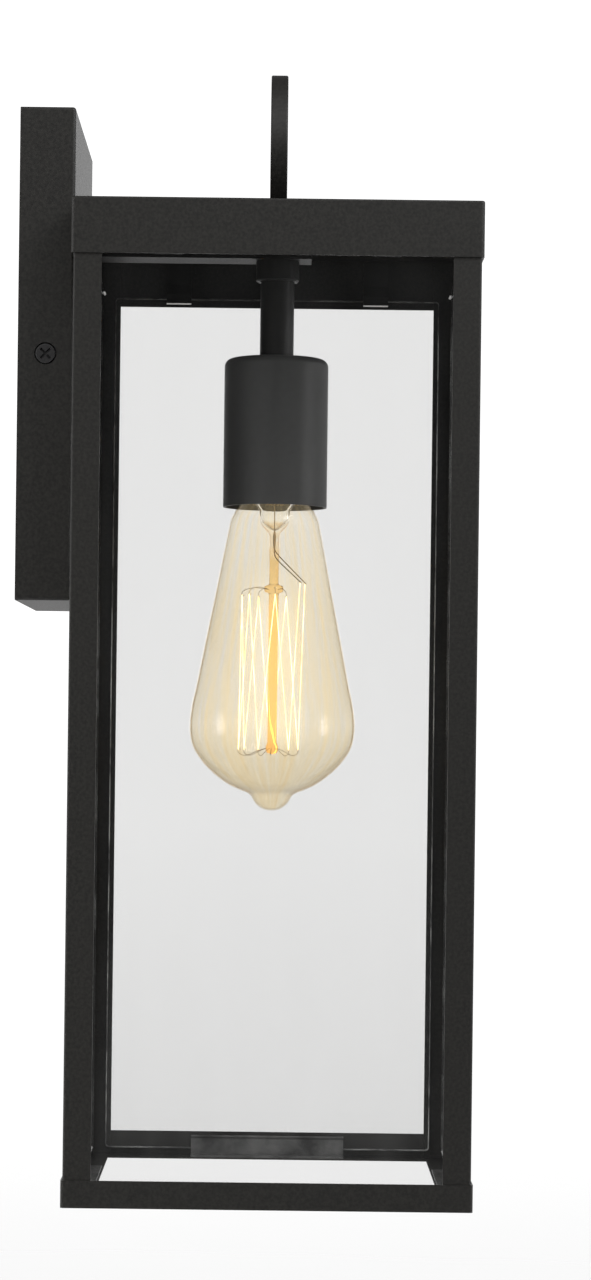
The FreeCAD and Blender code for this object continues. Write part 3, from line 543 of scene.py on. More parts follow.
def blend_colour(tree, factor, one, other):
    made = node(tree, "ShaderNodeMix", data_type="RGBA")
    for socket in made.inputs:
        if socket.enabled and socket.name == "Factor":
            tree.links.new(factor, socket)
        elif socket.enabled and socket.name in ("A", "B"):
            value = one if socket.name == "A" else other
            if isinstance(value, bpy.types.NodeSocket):
                tree.links.new(value, socket)
            else:
                socket.default_value = (*value, 1)
    return [socket for socket in made.outputs if socket.enabled][0]


def principled(tree, inputs):
    return node(tree, "ShaderNodeBsdfPrincipled", inputs).outputs["BSDF"]


def maths(tree, operation, *values, **settings):
    """One sum over numbers or sockets, in the Math node's order."""
    made = node(tree, "ShaderNodeMath", dict(enumerate(values)), operation=operation, **settings)
    return made.outputs["Value"]


def axes(tree, vector):
    """A vector's outputs X, Y and Z."""
    return node(tree, "ShaderNodeSeparateXYZ", {"Vector": vector}).outputs


def own_place(tree):
    """Where the shaded point is, in the object's own coordinates, in metres."""
    return node(tree, "ShaderNodeTexCoord").outputs["Object"]


def from_axis(tree):
    """Where the shaded point is, measured from the lantern's upright axis."""
    inputs = {0: own_place(tree), 1: (0.0, -AXIS_Y * MM, 0.0)}
    return node(tree, "ShaderNodeVectorMath", inputs, operation="ADD").outputs["Vector"]


def facing_away(tree):
    """0 where the surface faces the viewer, rising to 1 where it curves out of sight."""
    return node(tree, "ShaderNodeLayerWeight", {"Blend": FACING_BLEND}).outputs["Facing"]


def by_drop(tree, height, low, high, lower_drop, upper_drop):
    """Low at lower_drop under the cup's rim, running to high at upper_drop."""
    return spread(tree, height, low, high, at_drop(lower_drop) * MM, at_drop(upper_drop) * MM)


def bump(tree, height, distance, strength=1.0, below=None):
    inputs = {"Height": height, "Distance": distance * MM, "Strength": strength}
    if below is not None:
        inputs["Normal"] = below
    return node(tree, "ShaderNodeBump", inputs).outputs["Normal"]


def grained(name, dark, light, rough, grain, depth, metallic=0.0, patch=60.0, stretch=(1, 1, 1), **more):
    """An opaque finish: patchy colour, uneven roughness and a fine raised grain.

    rough is (lowest, highest), grain the features to the metre and depth the grain's height in mm.
    """
    material, tree = new_material(name)
    patches = noise(tree, scale=patch, detail=5.0, roughness=0.6)
    grains = noise(tree, scale=grain, detail=3.0, roughness=0.55, stretch=stretch)
    inputs = {
        "Base Color": blend_colour(tree, spread(tree, patches, 0, 1), dark, light),
        "Roughness": spread(tree, grains, rough[0], rough[1]),
        "Metallic": metallic,
        "Normal": bump(tree, grains, depth),
    }
    inputs.update(more)
    output(tree, principled(tree, inputs))
    return material

# ---- Finishes -------------------------------------------------------------------------------------

def powder_coat():
    """Matt black powder coat: a fine orange peel over small patches of darker and paler black."""
    material, tree = new_material("powder_coat")
    peel = noise(tree, scale=420.0, detail=2.0, roughness=0.5)
    fine = noise(tree, scale=1900.0, detail=2.0, roughness=0.6)
    patches = noise(tree, scale=850.0, detail=3.0, roughness=0.6)
    relief = bump(tree, peel, COAT_PEEL)
    relief = bump(tree, fine, COAT_GRAIN, below=relief)
    colour = blend_colour(tree, spread(tree, patches, 0, 1, *COAT_SPAN), COAT_DARK, COAT_LIGHT)
    rough = spread(tree, fine, *COAT_ROUGH)
    output(tree, principled(tree, {"Base Color": colour, "Roughness": rough, "Normal": relief}))
    return material


def enamel_painted_paler():
    """The lamp cup's smoother black, painted paler than the other black parts to stand in for light it lacks;
    its sheen lightens it where it curves away.
    """
    return grained(
        "enamel_painted_paler",
        dark=(0.050, 0.050, 0.049),
        light=(0.058, 0.058, 0.057),
        rough=(0.42, 0.50),
        grain=1300.0,
        depth=0.0006,
        patch=400.0,
        **{"Sheen Weight": CUP_SHEEN, "Sheen Roughness": 0.4},
    )


def satin_coat():
    """The stem's, collar's and arm's coat: the lantern's black without its coarse grain."""
    return grained(
        "satin_coat",
        dark=(0.0075, 0.0073, 0.0068),
        light=(0.0115, 0.0112, 0.0105),
        rough=(0.44, 0.52),
        grain=1300.0,
        depth=0.0006,
        patch=300.0,
    )


def sheer_glass(tree, tint, normal):
    """Thin glass that doesn't bend what is seen through it, and mirrors more at a slant."""
    slant = maths(tree, "POWER", facing_away(tree), GLASS_SLANT_POWER)
    share = maths(tree, "MULTIPLY_ADD", slant, 1.0 - GLASS_MIRROR, GLASS_MIRROR)
    inside = node(tree, "ShaderNodeNewGeometry").outputs["Backfacing"]
    outer_share = either_or(tree, inside, 0.0, share)
    clear = node(tree, "ShaderNodeBsdfTransparent", {"Color": tint}).outputs["BSDF"]
    gloss = node(tree, "ShaderNodeBsdfGlossy", {"Roughness": 0.0, "Normal": normal}).outputs["BSDF"]
    return node(tree, "ShaderNodeMixShader", {0: outer_share, 1: clear, 2: gloss}).outputs["Shader"]


def bare_edge(tree):
    """1 on the tabs' sheared lower edge, inside the panes, and 0 elsewhere on the clips."""
    height = axes(tree, own_place(tree))["Z"]
    tip = box_mm("top_clips")[0].z
    bare_top = tip + CLIP_BARE
    lowest = tip - CLIP_BARE_LOWEST
    below = spread(tree, height, 1.0, 0.0, bare_top * MM, (bare_top + CLIP_BARE_FADE) * MM)
    above = spread(tree, height, 0.0, 1.0, lowest * MM, (lowest + CLIP_MASK_FADE) * MM)
    away = node(tree, "ShaderNodeVectorMath", {0: from_axis(tree)}, operation="ABSOLUTE").outputs["Vector"]
    sides = axes(tree, away)
    reach = maths(tree, "MAXIMUM", sides["X"], sides["Y"])
    end = AXIS_Y - box_mm("glass_front")[1].y - CLIP_END
    inner = spread(tree, reach, 1.0, 0.0, end * MM, (end + CLIP_MASK_FADE) * MM)
    return maths(tree, "MULTIPLY", maths(tree, "MULTIPLY", below, above), inner)


def spring_steel(name, dark, light):
    """The clips: a thin mottled colour over sprung steel, dark on the top tabs and much paler on the bottom
    strips, bare along the tabs' sheared lower edge.
    """
    material, tree = new_material(name)
    grit = noise(tree, scale=900.0, detail=3.0)
    patches = noise(tree, scale=90.0, detail=5.0, roughness=0.6)
    bare = bare_edge(tree)
    coat = blend_colour(tree, spread(tree, patches, 0, 1), dark, light)
    inputs = {
        "Base Color": blend_colour(tree, bare, coat, CLIP_STEEL),
        "Metallic": bare,
        "Roughness": spread(tree, grit, *CLIP_ROUGH),
        "Normal": bump(tree, grit, GRIT_HEIGHT),
    }
    output(tree, principled(tree, inputs))
    return material


def panel_glass():
    """Clear flat glass, faintly grey, with a film of haze that thickens in runs towards its foot."""
    material, tree = new_material("panel_glass_look")
    normal = bump(tree, noise(tree, scale=14.0, detail=1.0), PANE_WAVE)
    smear = noise(tree, scale=9.0, detail=2.0, stretch=(1, 1, 0.4))
    tint = blend_colour(tree, spread(tree, smear, 0, 1), PANE_TINT_DARK, PANE_TINT_LIGHT)
    height = axes(tree, own_place(tree))["Z"]
    foot = box_mm("glass_front")[0].z
    film = spread(tree, height, HAZE_FOOT, HAZE_TOP, foot * MM, (foot + HAZE_REACH) * MM)
    runs = spread(tree, noise(tree, scale=60.0, detail=4.0, stretch=(1, 1, 0.2)), *HAZE_RUNS)
    haze = maths(tree, "MULTIPLY", film, runs)
    dust = node(tree, "ShaderNodeBsdfDiffuse", {"Color": (*PANE_DUST, 1)}).outputs["BSDF"]
    glass = sheer_glass(tree, tint, normal)
    output(tree, node(tree, "ShaderNodeMixShader", {0: haze, 1: glass, 2: dust}).outputs["Shader"])
    return material


def ground_edge():
    """The panes' ground edges: pale, frosted and bright with the light that runs inside the glass."""
    material, tree = new_material("ground_edge_look")
    grit = noise(tree, scale=900.0, detail=3.0)
    runs = noise(tree, scale=35.0, detail=5.0, roughness=0.7)
    inputs = {
        "Base Color": blend_colour(tree, spread(tree, runs, 0, 1, *EDGE_SPAN), EDGE_DULL, EDGE_BRIGHT),
        "Roughness": spread(tree, grit, *EDGE_ROUGH),
        "Normal": bump(tree, grit, GRIT_HEIGHT),
    }
    output(tree, principled(tree, inputs))
    return material


def lamp_through(tree, shader):
    """Let lamps shine through: transparent to shadow rays, the shader to all others."""
    shadow = node(tree, "ShaderNodeLightPath").outputs["Is Shadow Ray"]
    open_way = node(tree, "ShaderNodeBsdfTransparent").outputs["BSDF"]
    return node(tree, "ShaderNodeMixShader", {0: shadow, 1: shader, 2: open_way}).outputs["Shader"]


def bulb_streaks(tree, parts):
    """Noise drawn out from neck to tip, laid round the bulb by direction alone."""
    flat = node(tree, "ShaderNodeCombineXYZ", {"X": parts["X"], "Y": parts["Y"]}).outputs["Vector"]
    turn = axes(tree, node(tree, "ShaderNodeVectorMath", {0: flat}, operation="NORMALIZE").outputs["Vector"])
    slow_z = maths(tree, "MULTIPLY", parts["Z"], STREAK_STRETCH)
    where = node(tree, "ShaderNodeCombineXYZ", {"X": turn["X"], "Y": turn["Y"], "Z": slow_z})
    inputs = {"Vector": where.outputs["Vector"], "Scale": STREAK_SCALE, "Detail": 4.0, "Roughness": 0.65}
    return node(tree, "ShaderNodeTexNoise", inputs).outputs["Fac"]


def bulb_painted_glow(tree, height, facing, streaks):
    """Strength of the glow painted on the bulb glass: a painted halo face on round the filament, and a streaked
    painted haze.
    """
    middle = maths(tree, "SUBTRACT", 1.0, facing)
    core = maths(tree, "POWER", middle, PAINTED_HALO_POWER)
    rise = by_drop(tree, height, 1.0, 0.0, *PAINTED_HALO_TOP_DROPS)
    fall = by_drop(tree, height, 0.0, 1.0, *PAINTED_HALO_TIP_DROPS)
    halo = maths(tree, "MULTIPLY", core, maths(tree, "MULTIPLY", rise, fall))
    shine = spread(tree, streaks, 0.0, GLASS_PAINTED_GLOW, *GLASS_PAINTED_GLOW_SPAN)
    sink = by_drop(tree, height, GLASS_PAINTED_GLOW_TIP, 1.0, *PAINTED_HALO_TIP_DROPS)
    return maths(tree, "MULTIPLY_ADD", halo, GLASS_PAINTED_HALO, maths(tree, "MULTIPLY", shine, sink))


def amber_glass():
    """Blown glass with an amber film that thins towards the neck, streaked from neck to tip, with a painted
    glow added as emission.
    """
    material, tree = new_material("amber_glass_look")
    parts = axes(tree, from_axis(tree))
    height = parts["Z"]
    streaks = bulb_streaks(tree, parts)
    facing = facing_away(tree)
    upper = by_drop(tree, height, FILM_MIDDLE, FILM_NECK, *FILM_NECK_DROPS)
    lower = by_drop(tree, height, FILM_TIP, FILM_MIDDLE, *FILM_TIP_DROPS)
    film = maths(tree, "ADD", upper, maths(tree, "SUBTRACT", lower, FILM_MIDDLE))
    uneven = spread(tree, streaks, -FILM_STREAK, FILM_STREAK, *FILM_STREAK_SPAN)
    depth = maths(tree, "ADD", film, uneven, use_clamp=True)
    body = blend_colour(tree, depth, FILM_THIN, FILM_THICK)
    colour = blend_colour(tree, spread(tree, facing, 0.0, 1.0, *FILM_RIM_SPAN), body, FILM_RIM)
    glass = sheer_glass(tree, colour, bump(tree, streaks, STREAK_RELIEF))
    strength = bulb_painted_glow(tree, height, facing, streaks)
    # Painted glow: the glass emits light that stands in for the filament's light caught in it.
    emission = node(tree, "ShaderNodeEmission", {"Color": (*PAINTED_GLOW_COLOUR, 1), "Strength": strength})
    lit = node(tree, "ShaderNodeAddShader", {0: glass, 1: emission.outputs["Emission"]})
    output(tree, lit.outputs["Shader"])
    return material


def stem_glass():
    """Drawn glass of the bulb's stem: a clear flare, a press with orange depths, and an amber rod painted lit
    and glowing inside the filament's cage.
    """
    material, tree = new_material("stem_glass_look")
    drawn = spread(tree, noise(tree, scale=240.0, detail=2.0, stretch=(1, 1, 0.15)), 0, 1)
    pools = spread(tree, noise(tree, scale=420.0, detail=2.0), 0, 1, *PRESS_POOLS)
    height = axes(tree, own_place(tree))["Z"]
    in_press = by_drop(tree, height, 1.0, 0.0, *PRESS_DROPS)
    in_rod = by_drop(tree, height, 1.0, 0.0, *ROD_DROPS)
    painted_glow_in_cage = by_drop(tree, height, 1.0, 0.0, *CAGE_DROPS)
    facing = facing_away(tree)
    slanted = spread(tree, facing, 0, 1, *STEM_EDGE_SPAN)
    flare = blend_colour(tree, slanted, FLARE_CLEAR, FLARE_EDGE)
    steep = spread(tree, facing, 0, 1, *PRESS_EDGE_SPAN)
    press = blend_colour(tree, steep, blend_colour(tree, pools, PRESS_PALE, PRESS_DEEP), PRESS_EDGE)
    # Painted light: inside the filament's cage the rod is coloured as if lit, and further down it is given a
    # painted glow.
    rod = blend_colour(tree, painted_glow_in_cage, blend_colour(tree, drawn, ROD_PALE, ROD_DEEP), ROD_PAINTED_LIT)
    rod = blend_colour(tree, slanted, rod, ROD_EDGE)
    inputs = {
        "Base Color": blend_colour(tree, in_rod, blend_colour(tree, in_press, flare, press), rod),
        "Roughness": spread(tree, drawn, *STEM_ROUGH),
        "IOR": 1.1,
        "Transmission Weight": 1.0,
        "Coat Weight": 0.15,
        "Coat Roughness": 0.02,
        "Coat IOR": 1.5,
        "Emission Color": (*ROD_PAINTED_GLOW_COLOUR, 1),
        "Emission Strength": maths(tree, "MULTIPLY", painted_glow_in_cage, ROD_PAINTED_GLOW),
        "Normal": bump(tree, drawn, STEM_RELIEF),
    }
    output(tree, lamp_through(tree, principled(tree, inputs)))
    return material


def lit_filament():
    """A carbon thread that glows, a little unevenly along its length."""
    material, tree = new_material("lit_filament")
    uneven = noise(tree, scale=160.0, detail=2.0)
    inputs = {
        "Base Color": (*THREAD_CARBON, 1),
        "Roughness": 0.6,
        "Emission Color": blend_colour(tree, spread(tree, uneven, 0, 1), THREAD_DEEP, THREAD_PALE),
        "Emission Strength": spread(tree, uneven, *THREAD_GLOW),
    }
    output(tree, principled(tree, inputs))
    return material


# Plain grained finishes by the record's slots: (name, dark, light, rough, grain, depth), then what else
# grained() needs
GRAINED = {
    "black_screw": (
        ("black_screw_look", (0.020, 0.020, 0.021), (0.034, 0.033, 0.033), (0.30, 0.44), 1500.0, 0.01),
        {"metallic": 0.3},
    ),
    "zinc_steel": (
        ("zinc_look", (0.46, 0.47, 0.49), (0.62, 0.62, 0.60), (0.24, 0.42), 1200.0, 0.008),
        {"metallic": 1.0},
    ),
    "green_screw": (
        ("green_screw_look", (0.02, 0.16, 0.06), (0.03, 0.24, 0.09), (0.28, 0.42), 900.0, 0.01),
        {"metallic": 0.5},
    ),
    "bare_copper": (
        ("copper_look", (0.55, 0.22, 0.11), (0.80, 0.40, 0.24), (0.22, 0.40), 700.0, 0.01),
        {"metallic": 1.0, "stretch": (1, 1, 0.2)},
    ),
    "wire_nut_plastic": (
        ("wire_nut_look", (0.62, 0.17, 0.03), (0.72, 0.22, 0.04), (0.34, 0.48), 1100.0, 0.02),
        {},
    ),
    "lead_black": (
        ("lead_black_look", (0.016, 0.016, 0.016), (0.028, 0.027, 0.026), (0.34, 0.5), 800.0, 0.015),
        {},
    ),
    "lead_white": (
        ("lead_white_look", (0.66, 0.65, 0.60), (0.78, 0.77, 0.74), (0.34, 0.5), 800.0, 0.015),
        {},
    ),
    "grommet_rubber": (
        ("rubber_look", (0.012, 0.012, 0.012), (0.022, 0.022, 0.022), (0.6, 0.8), 900.0, 0.03),
        {},
    ),
    "gasket_foam": (
        ("foam_look", (0.020, 0.020, 0.022), (0.050, 0.050, 0.054), (0.85, 0.97), 1600.0, 0.25),
        {},
    ),
    "socket_ceramic": (
        ("ceramic_look", (0.74, 0.72, 0.67), (0.82, 0.80, 0.76), (0.12, 0.3), 500.0, 0.02),
        {"Coat Weight": 0.5, "Coat Roughness": 0.06},
    ),
    "brass": (
        ("brass_look", (0.60, 0.40, 0.13), (0.80, 0.58, 0.25), (0.2, 0.38), 900.0, 0.01),
        {"metallic": 1.0},
    ),
    "bulb_brass": (
        ("bulb_base_look", (0.66, 0.50, 0.26), (0.84, 0.68, 0.40), (0.18, 0.36), 900.0, 0.012),
        {"metallic": 1.0},
    ),
    "black_glass": (
        ("black_glass_look", (0.008, 0.007, 0.010), (0.02, 0.018, 0.024), (0.05, 0.16), 300.0, 0.02),
        {},
    ),
    "solder": (
        ("solder_look", (0.48, 0.48, 0.47), (0.68, 0.67, 0.65), (0.28, 0.5), 700.0, 0.05),
        {"metallic": 1.0},
    ),
    "support_wire": (
        ("support_wire_look", (0.30, 0.22, 0.12), (0.52, 0.40, 0.24), (0.3, 0.5), 1500.0, 0.004),
        {"metallic": 1.0},
    ),
}


def make_finishes():
    """One material for each of the record's slots."""
    finishes = {slot: grained(*values, **more) for slot, (values, more) in GRAINED.items()}
    finishes["black_coat"] = powder_coat()
    finishes["panel_glass"] = panel_glass()
    finishes["amber_glass"] = amber_glass()
    finishes["stem_glass"] = stem_glass()
    finishes["filament_wire"] = lit_filament()
    return finishes


# ---- Pieces ---------------------------------------------------------------------------------------

def rounded_outline(half_w, half_h, radius, steps=7):
    """A corner-rounded rectangle as (across, up) points."""
    outline = []
    for quarter in range(4):
        sign_w = (1, -1, -1, 1)[quarter]
        sign_h = (1, 1, -1, -1)[quarter]
        for step in range(steps + 1):
            angle = math.pi / 2 * (quarter + step / steps)
            outline.append((
                sign_w * (half_w - radius) + radius * math.cos(angle),
                sign_h * (half_h - radius) + radius * math.sin(angle),
            ))
    return outline


def glass_pane(node_name):
    """A flat pane with rounded corners and softly ground edges, in the space of its CAD node."""
    low, high = box_mm(node_name)
    middle = (low + high) / 2
    half = (high - low) / 2
    thin = 0 if half.x < half.y else 1
    wide = 1 - thin
    face = half[thin]
    round_off = PANE_ARRIS * PANE_ARRIS_MIDDLE
    profile = [
        (PANE_ARRIS, -face),
        (round_off, round_off - face),
        (0.0, PANE_ARRIS - face),
        (0.0, face - PANE_ARRIS),
        (round_off, face - round_off),
        (PANE_ARRIS, face),
    ]
    points = []
    faces = []
    count = 0
    for inset, depth in profile:
        outline = rounded_outline(half[wide] - inset, half.z - inset, PANE_CORNER_R - inset)
        count = len(outline)
        for across, up in outline:
            point = Vector(middle)
            point[wide] += across
            point.z += up
            point[thin] += depth
            points.append(point)
    for level in range(len(profile) - 1):
        for k in range(count):
            after = (k + 1) % count
            faces.append([
                level * count + k, level * count + after,
                (level + 1) * count + after, (level + 1) * count + k,
            ])
    rim_faces = len(faces)
    faces.append(list(range(count)))
    faces.append([(len(profile) - 1) * count + k for k in range(count)])
    piece = mesh_piece(node_name + "_pane", points, faces, crease=PANE_CREASE)
    for polygon in piece.data.polygons:
        polygon.material_index = 1 if polygon.index < rim_faces else 0
    return piece


def bulb_glass():
    """The bulb's glass as one closed wall, outside and inside, sealed at the neck."""
    line = smooth_line(BULB_OUTLINE, BULB_STEPS, last_way=(-1.0, 0.0))
    inside = inset_line(line, BULB_WALL)
    outline = [(radius, radius, at_drop(drop)) for radius, drop in line]
    outline += [(radius, radius, at_drop(drop)) for radius, drop in reversed(inside)]
    points, faces = stack(outline, BULB_SEGMENTS, closed=True)
    return mesh_piece("bulb_glass", points, faces)


def screw_base():
    """The bulb's rolled brass base, with its shoulder turned in at the top."""
    low, high = box_mm("bulb_base")
    thread_top = high.z - SHOULDER_H
    thread = thread_tube(BASE_R, BASE_RIDGE, BASE_SHEET, low.z, thread_top, THREAD_PITCH)
    rings = [(BASE_R - inset, BASE_R - inset, thread_top + rise) for inset, rise in SHOULDER]
    cap = stack(rings, ROUND_SEGMENTS, closed=True)
    return mesh_piece("bulb_screw_base", *join_shapes(thread, cap))


def screw_shell():
    """The socket's rolled brass shell, whose thread the bulb's base runs in."""
    low, high = box_mm("socket_shell")
    return mesh_piece(
        "socket_screw_shell",
        *thread_tube(SHELL_R, SHELL_RIDGE, SHELL_SHEET, low.z, high.z, THREAD_PITCH),
    )


def threaded_nipple():
    """The thin threaded tube that clamps the arm, collar, stem and cup."""
    low, high = box_mm("nipple")
    radius = (high.x - low.x) / 2 - NIPPLE_RIDGE / 2
    shape = thread_tube(
        radius, NIPPLE_RIDGE, NIPPLE_SHEET, low.z, high.z, NIPPLE_PITCH, segments=STEM_SEGMENTS, steps=8,
    )
    return mesh_piece("nipple_thread", *shape)


def bulb_stem():
    """The bulb's glass stem in one closed skin."""
    sections = [(half_x, half_y, at_drop(drop)) for half_x, half_y, drop in STEM_SECTIONS]
    return mesh_piece("bulb_stem", *stack(sections, STEM_SEGMENTS), crease=STEM_CREASE)


def cage_point(index, radius, drop):
    """A point on the filament's round cage; even points are at its top and odd ones at its foot."""
    angle = math.radians(CAGE_START) - math.pi * index / CAGE_LOOPS
    return Vector((radius * math.cos(angle), AXIS_Y + radius * math.sin(angle), at_drop(drop)))


def cage_bends():
    """The filament's bends in order, from one lead to the other."""
    last = 2 * CAGE_LOOPS - 2
    bends = []
    for index in range(last + 1):
        if index in (0, last):
            bends.append(cage_point(index, CAGE_TOP_R, LEAD_END_DROP))
        elif index % 2 == 0:
            bends.append(cage_point(index, CAGE_TOP_R, CAGE_TOP_DROP))
        else:
            bends.append(cage_point(index, CAGE_BOTTOM_R, CAGE_BOTTOM_DROP))
    return bends


def filament_thread():
    """One thread zigzagging over the hooks, with a tight round bend at each."""
    bends = cage_bends()
    line = [bends[0]]
    for before, bend, after in zip(bends, bends[1:], bends[2:]):
        line.append(bend + (before - bend).normalized() * STRAND_BEND)
        line.append(bend)
        line.append(bend + (after - bend).normalized() * STRAND_BEND)
    line.append(bends[-1])
    return wire_piece("filament_thread", [line], STRAND_R)


def filament_hooks():
    """Fine wires that arc out from the stem to a small hook at each bend."""
    lines = []
    for index in range(1, 2 * CAGE_LOOPS - 2):
        if index % 2 == 0:
            root, bend, inwards = HOOK_TOP_ROOT, (CAGE_TOP_R, CAGE_TOP_DROP), 1
        else:
            root, bend, inwards = HOOK_FOOT_ROOT, (CAGE_BOTTOM_R, CAGE_BOTTOM_DROP), -1
        line = []
        for (radius, drop), shape in ((root, HOOK_START), (bend, HOOK_END)):
            line += [cage_point(index, radius + out, drop + inwards * along) for out, along in shape]
        lines.append(line)
    return wire_piece("filament_hooks", lines, SUPPORT_R, resolution=3)


def lead_wires():
    """Two wires down the stem's tube, out of the pinch and across to the filament's ends."""
    lines = []
    last = 2 * CAGE_LOOPS - 2
    for index, side, exit_drop in ((0, -1, LEAD_EXIT_DROPS[0]), (last, 1, LEAD_EXIT_DROPS[1])):
        end = cage_point(index, CAGE_TOP_R + LEAD_END_OUT, LEAD_END_DROP)
        outward = (end - Vector((0, AXIS_Y, end.z))).normalized()
        start = Vector((0, AXIS_Y, at_drop(exit_drop))) + outward * LEAD_EXIT_R
        line = [Vector((side * reach, AXIS_Y, at_drop(drop))) for reach, drop in LEAD_RUN]
        line.append(Vector((side * LEAD_PINCH_X, AXIS_Y, at_drop(exit_drop - LEAD_PINCH_LIFT))))
        line += [start, start.lerp(end, 0.5), end]
        lines.append(line)
    return wire_piece("bulb_lead_wires", lines, LEAD_R, resolution=3)


# ---- Stage: floor, light and camera -----------------------------------------------------------------

# Floor, metres; how it fades with distance, its tone, its share for indirect light and its own lift
FLOOR_Z = -0.72
FLOOR_R = 9.0
FLOOR_RINGS = 24
FLOOR_RING_GROWTH = 1.6
FLOOR_FADE = (0.8, 3.0)
FLOOR_TONE = (0.78, 0.82)
FLOOR_DIM = 0.25
FLOOR_LIFT = 0.5

# Backdrop as the camera sees it: strength at its foot and top, and the sky heights between
BACKDROP_FOOT = 1.0
BACKDROP_TOP = 1.14
BACKDROP_RISE = (-0.135, -0.03)

# Studio on the open side: strengths low, high, overhead and straight ahead, and what each runs between
OPEN_SIDE = (-1.0, 0.0, 0.0)
STUDIO_FRONT_LOW = 0.12
STUDIO_FRONT_HIGH = 0.95
STUDIO_FRONT_RISE = (-0.15, 0.5)
STUDIO_FRONT_ROOF = 0.40
STUDIO_ROOF_RISE = (0.45, 0.85)
STUDIO_DARK_CENTRE = 0.06
STUDIO_DARK_SPAN = (0.18, 0.42)

# Studio behind the lantern: strengths low, high, straight behind and below
STUDIO_BEHIND_SPAN = (-0.5, 0.4)
STUDIO_BACK = 0.95
STUDIO_BACK_HIGH = 0.12
STUDIO_BACK_RISE = (0.05, 0.6)
STUDIO_BACK_GLOW = 1.1
STUDIO_GLOW_SPAN = (0.90, 0.985)
STUDIO_UNDER = 0.6
STUDIO_UNDER_RISE = (-0.12, 0.02)

# Studio's side lamps: way to them, strength and spill, and how far from that way each reaches
SIDE_LAMP_WAY = (0.208, 0.978, 0.05)
STUDIO_SIDE_LAMP = 4.5
SIDE_LAMP_SPAN = (0.06, 0.19)
STUDIO_SIDE_SPILL = 0.2
SIDE_SPILL_SPAN = (0.15, 0.85)
SIDE_LAMP_CUT = (-0.05, 0.05)

# Softboxes: name, place from the lantern's axis and side in metres, power in watts, whether it is mirrored
SOFTBOXES = [
    ("key_softbox", (-0.55, -0.5, 0.62), 0.4, 4.2, True),
    ("fill_softbox", (-0.62, 0.68, -0.15), 0.6, 6.5, False),
    ("overhead_softbox", (-0.5, 0.1, 1.2), 0.9, 0.8, True),
]
SOFTBOX_AIM_Z = -0.1

CAMERA_PLACE = (-1.2452, AXIS_Y * MM, -0.1387)
CAMERA_LENS = 90.83
CAMERA_SENSOR = 36.0
CAMERA_SHIFT = (0.0183, 0.0722)
CAMERA_ROLL = -0.7
CAMERA_NEAR = 0.01


def open_side_light(tree, way, parts):
    """Strength on the open side: it rises with height, and is dark straight ahead and dimmer overhead."""
    rising = spread(tree, parts["Z"], STUDIO_FRONT_LOW, STUDIO_FRONT_HIGH, *STUDIO_FRONT_RISE)
    off_centre = node(
        tree, "ShaderNodeVectorMath", {0: way, 1: OPEN_SIDE}, operation="DISTANCE"
    ).outputs["Value"]
    unlit = spread(tree, off_centre, STUDIO_DARK_CENTRE, 1.0, *STUDIO_DARK_SPAN)
    overhead = spread(tree, parts["Z"], 1.0, STUDIO_FRONT_ROOF, *STUDIO_ROOF_RISE)
    return maths(tree, "MULTIPLY", maths(tree, "MULTIPLY", rising, unlit), overhead)


def behind_light(tree, parts):
    """Strength behind the lantern: pale low down, brighter straight behind, dim high up and below."""
    falling = spread(tree, parts["Z"], STUDIO_BACK, STUDIO_BACK_HIGH, *STUDIO_BACK_RISE)
    straight_glow = spread(tree, parts["X"], 0.0, STUDIO_BACK_GLOW, *STUDIO_GLOW_SPAN)
    under = spread(tree, parts["Z"], STUDIO_UNDER, 1.0, *STUDIO_UNDER_RISE)
    return maths(tree, "MULTIPLY", maths(tree, "ADD", falling, straight_glow), under)


def side_lamps(tree, way, parts):
    """Strength of the two soft lamps, one each side, cut off behind the lantern."""
    either_side = node(tree, "ShaderNodeVectorMath", {0: way}, operation="ABSOLUTE").outputs["Vector"]
    to_lamp = node(
        tree, "ShaderNodeVectorMath", {0: either_side, 1: SIDE_LAMP_WAY}, operation="DISTANCE"
    ).outputs["Value"]
    lamp = spread(tree, to_lamp, STUDIO_SIDE_LAMP, 0.0, *SIDE_LAMP_SPAN)
    spill = spread(tree, to_lamp, STUDIO_SIDE_SPILL, 0.0, *SIDE_SPILL_SPAN)
    open_half = spread(tree, parts["X"], 1.0, 0.0, *SIDE_LAMP_CUT)
    return maths(tree, "MULTIPLY", maths(tree, "ADD", lamp, spill), open_half)


def studio_world():
    """White for what the camera sees; for all else a studio, dim in front, with a soft lamp at each side."""
    world = bpy.data.worlds.new("studio")
    bpy.context.scene.world = world
    world.use_nodes = True
    tree = world.node_tree
    tree.nodes.clear()
    way = node(tree, "ShaderNodeTexCoord").outputs["Generated"]
    parts = axes(tree, way)
    behind = spread(tree, parts["X"], 0.0, 1.0, *STUDIO_BEHIND_SPAN)
    studio = either_or(tree, behind, behind_light(tree, parts), open_side_light(tree, way, parts))
    unseen_light = maths(tree, "ADD", studio, side_lamps(tree, way, parts))
    white = spread(tree, parts["Z"], BACKDROP_FOOT, BACKDROP_TOP, *BACKDROP_RISE)
    path = node(tree, "ShaderNodeLightPath").outputs
    seen = maths(tree, "MAXIMUM", path["Is Camera Ray"], path["Is Transmission Ray"])
    strength = either_or(tree, seen, white, unseen_light)
    background = node(tree, "ShaderNodeBackground", {"Color": (1, 1, 1, 1), "Strength": strength})
    node(tree, "ShaderNodeOutputWorld", {"Surface": background.outputs["Background"]})


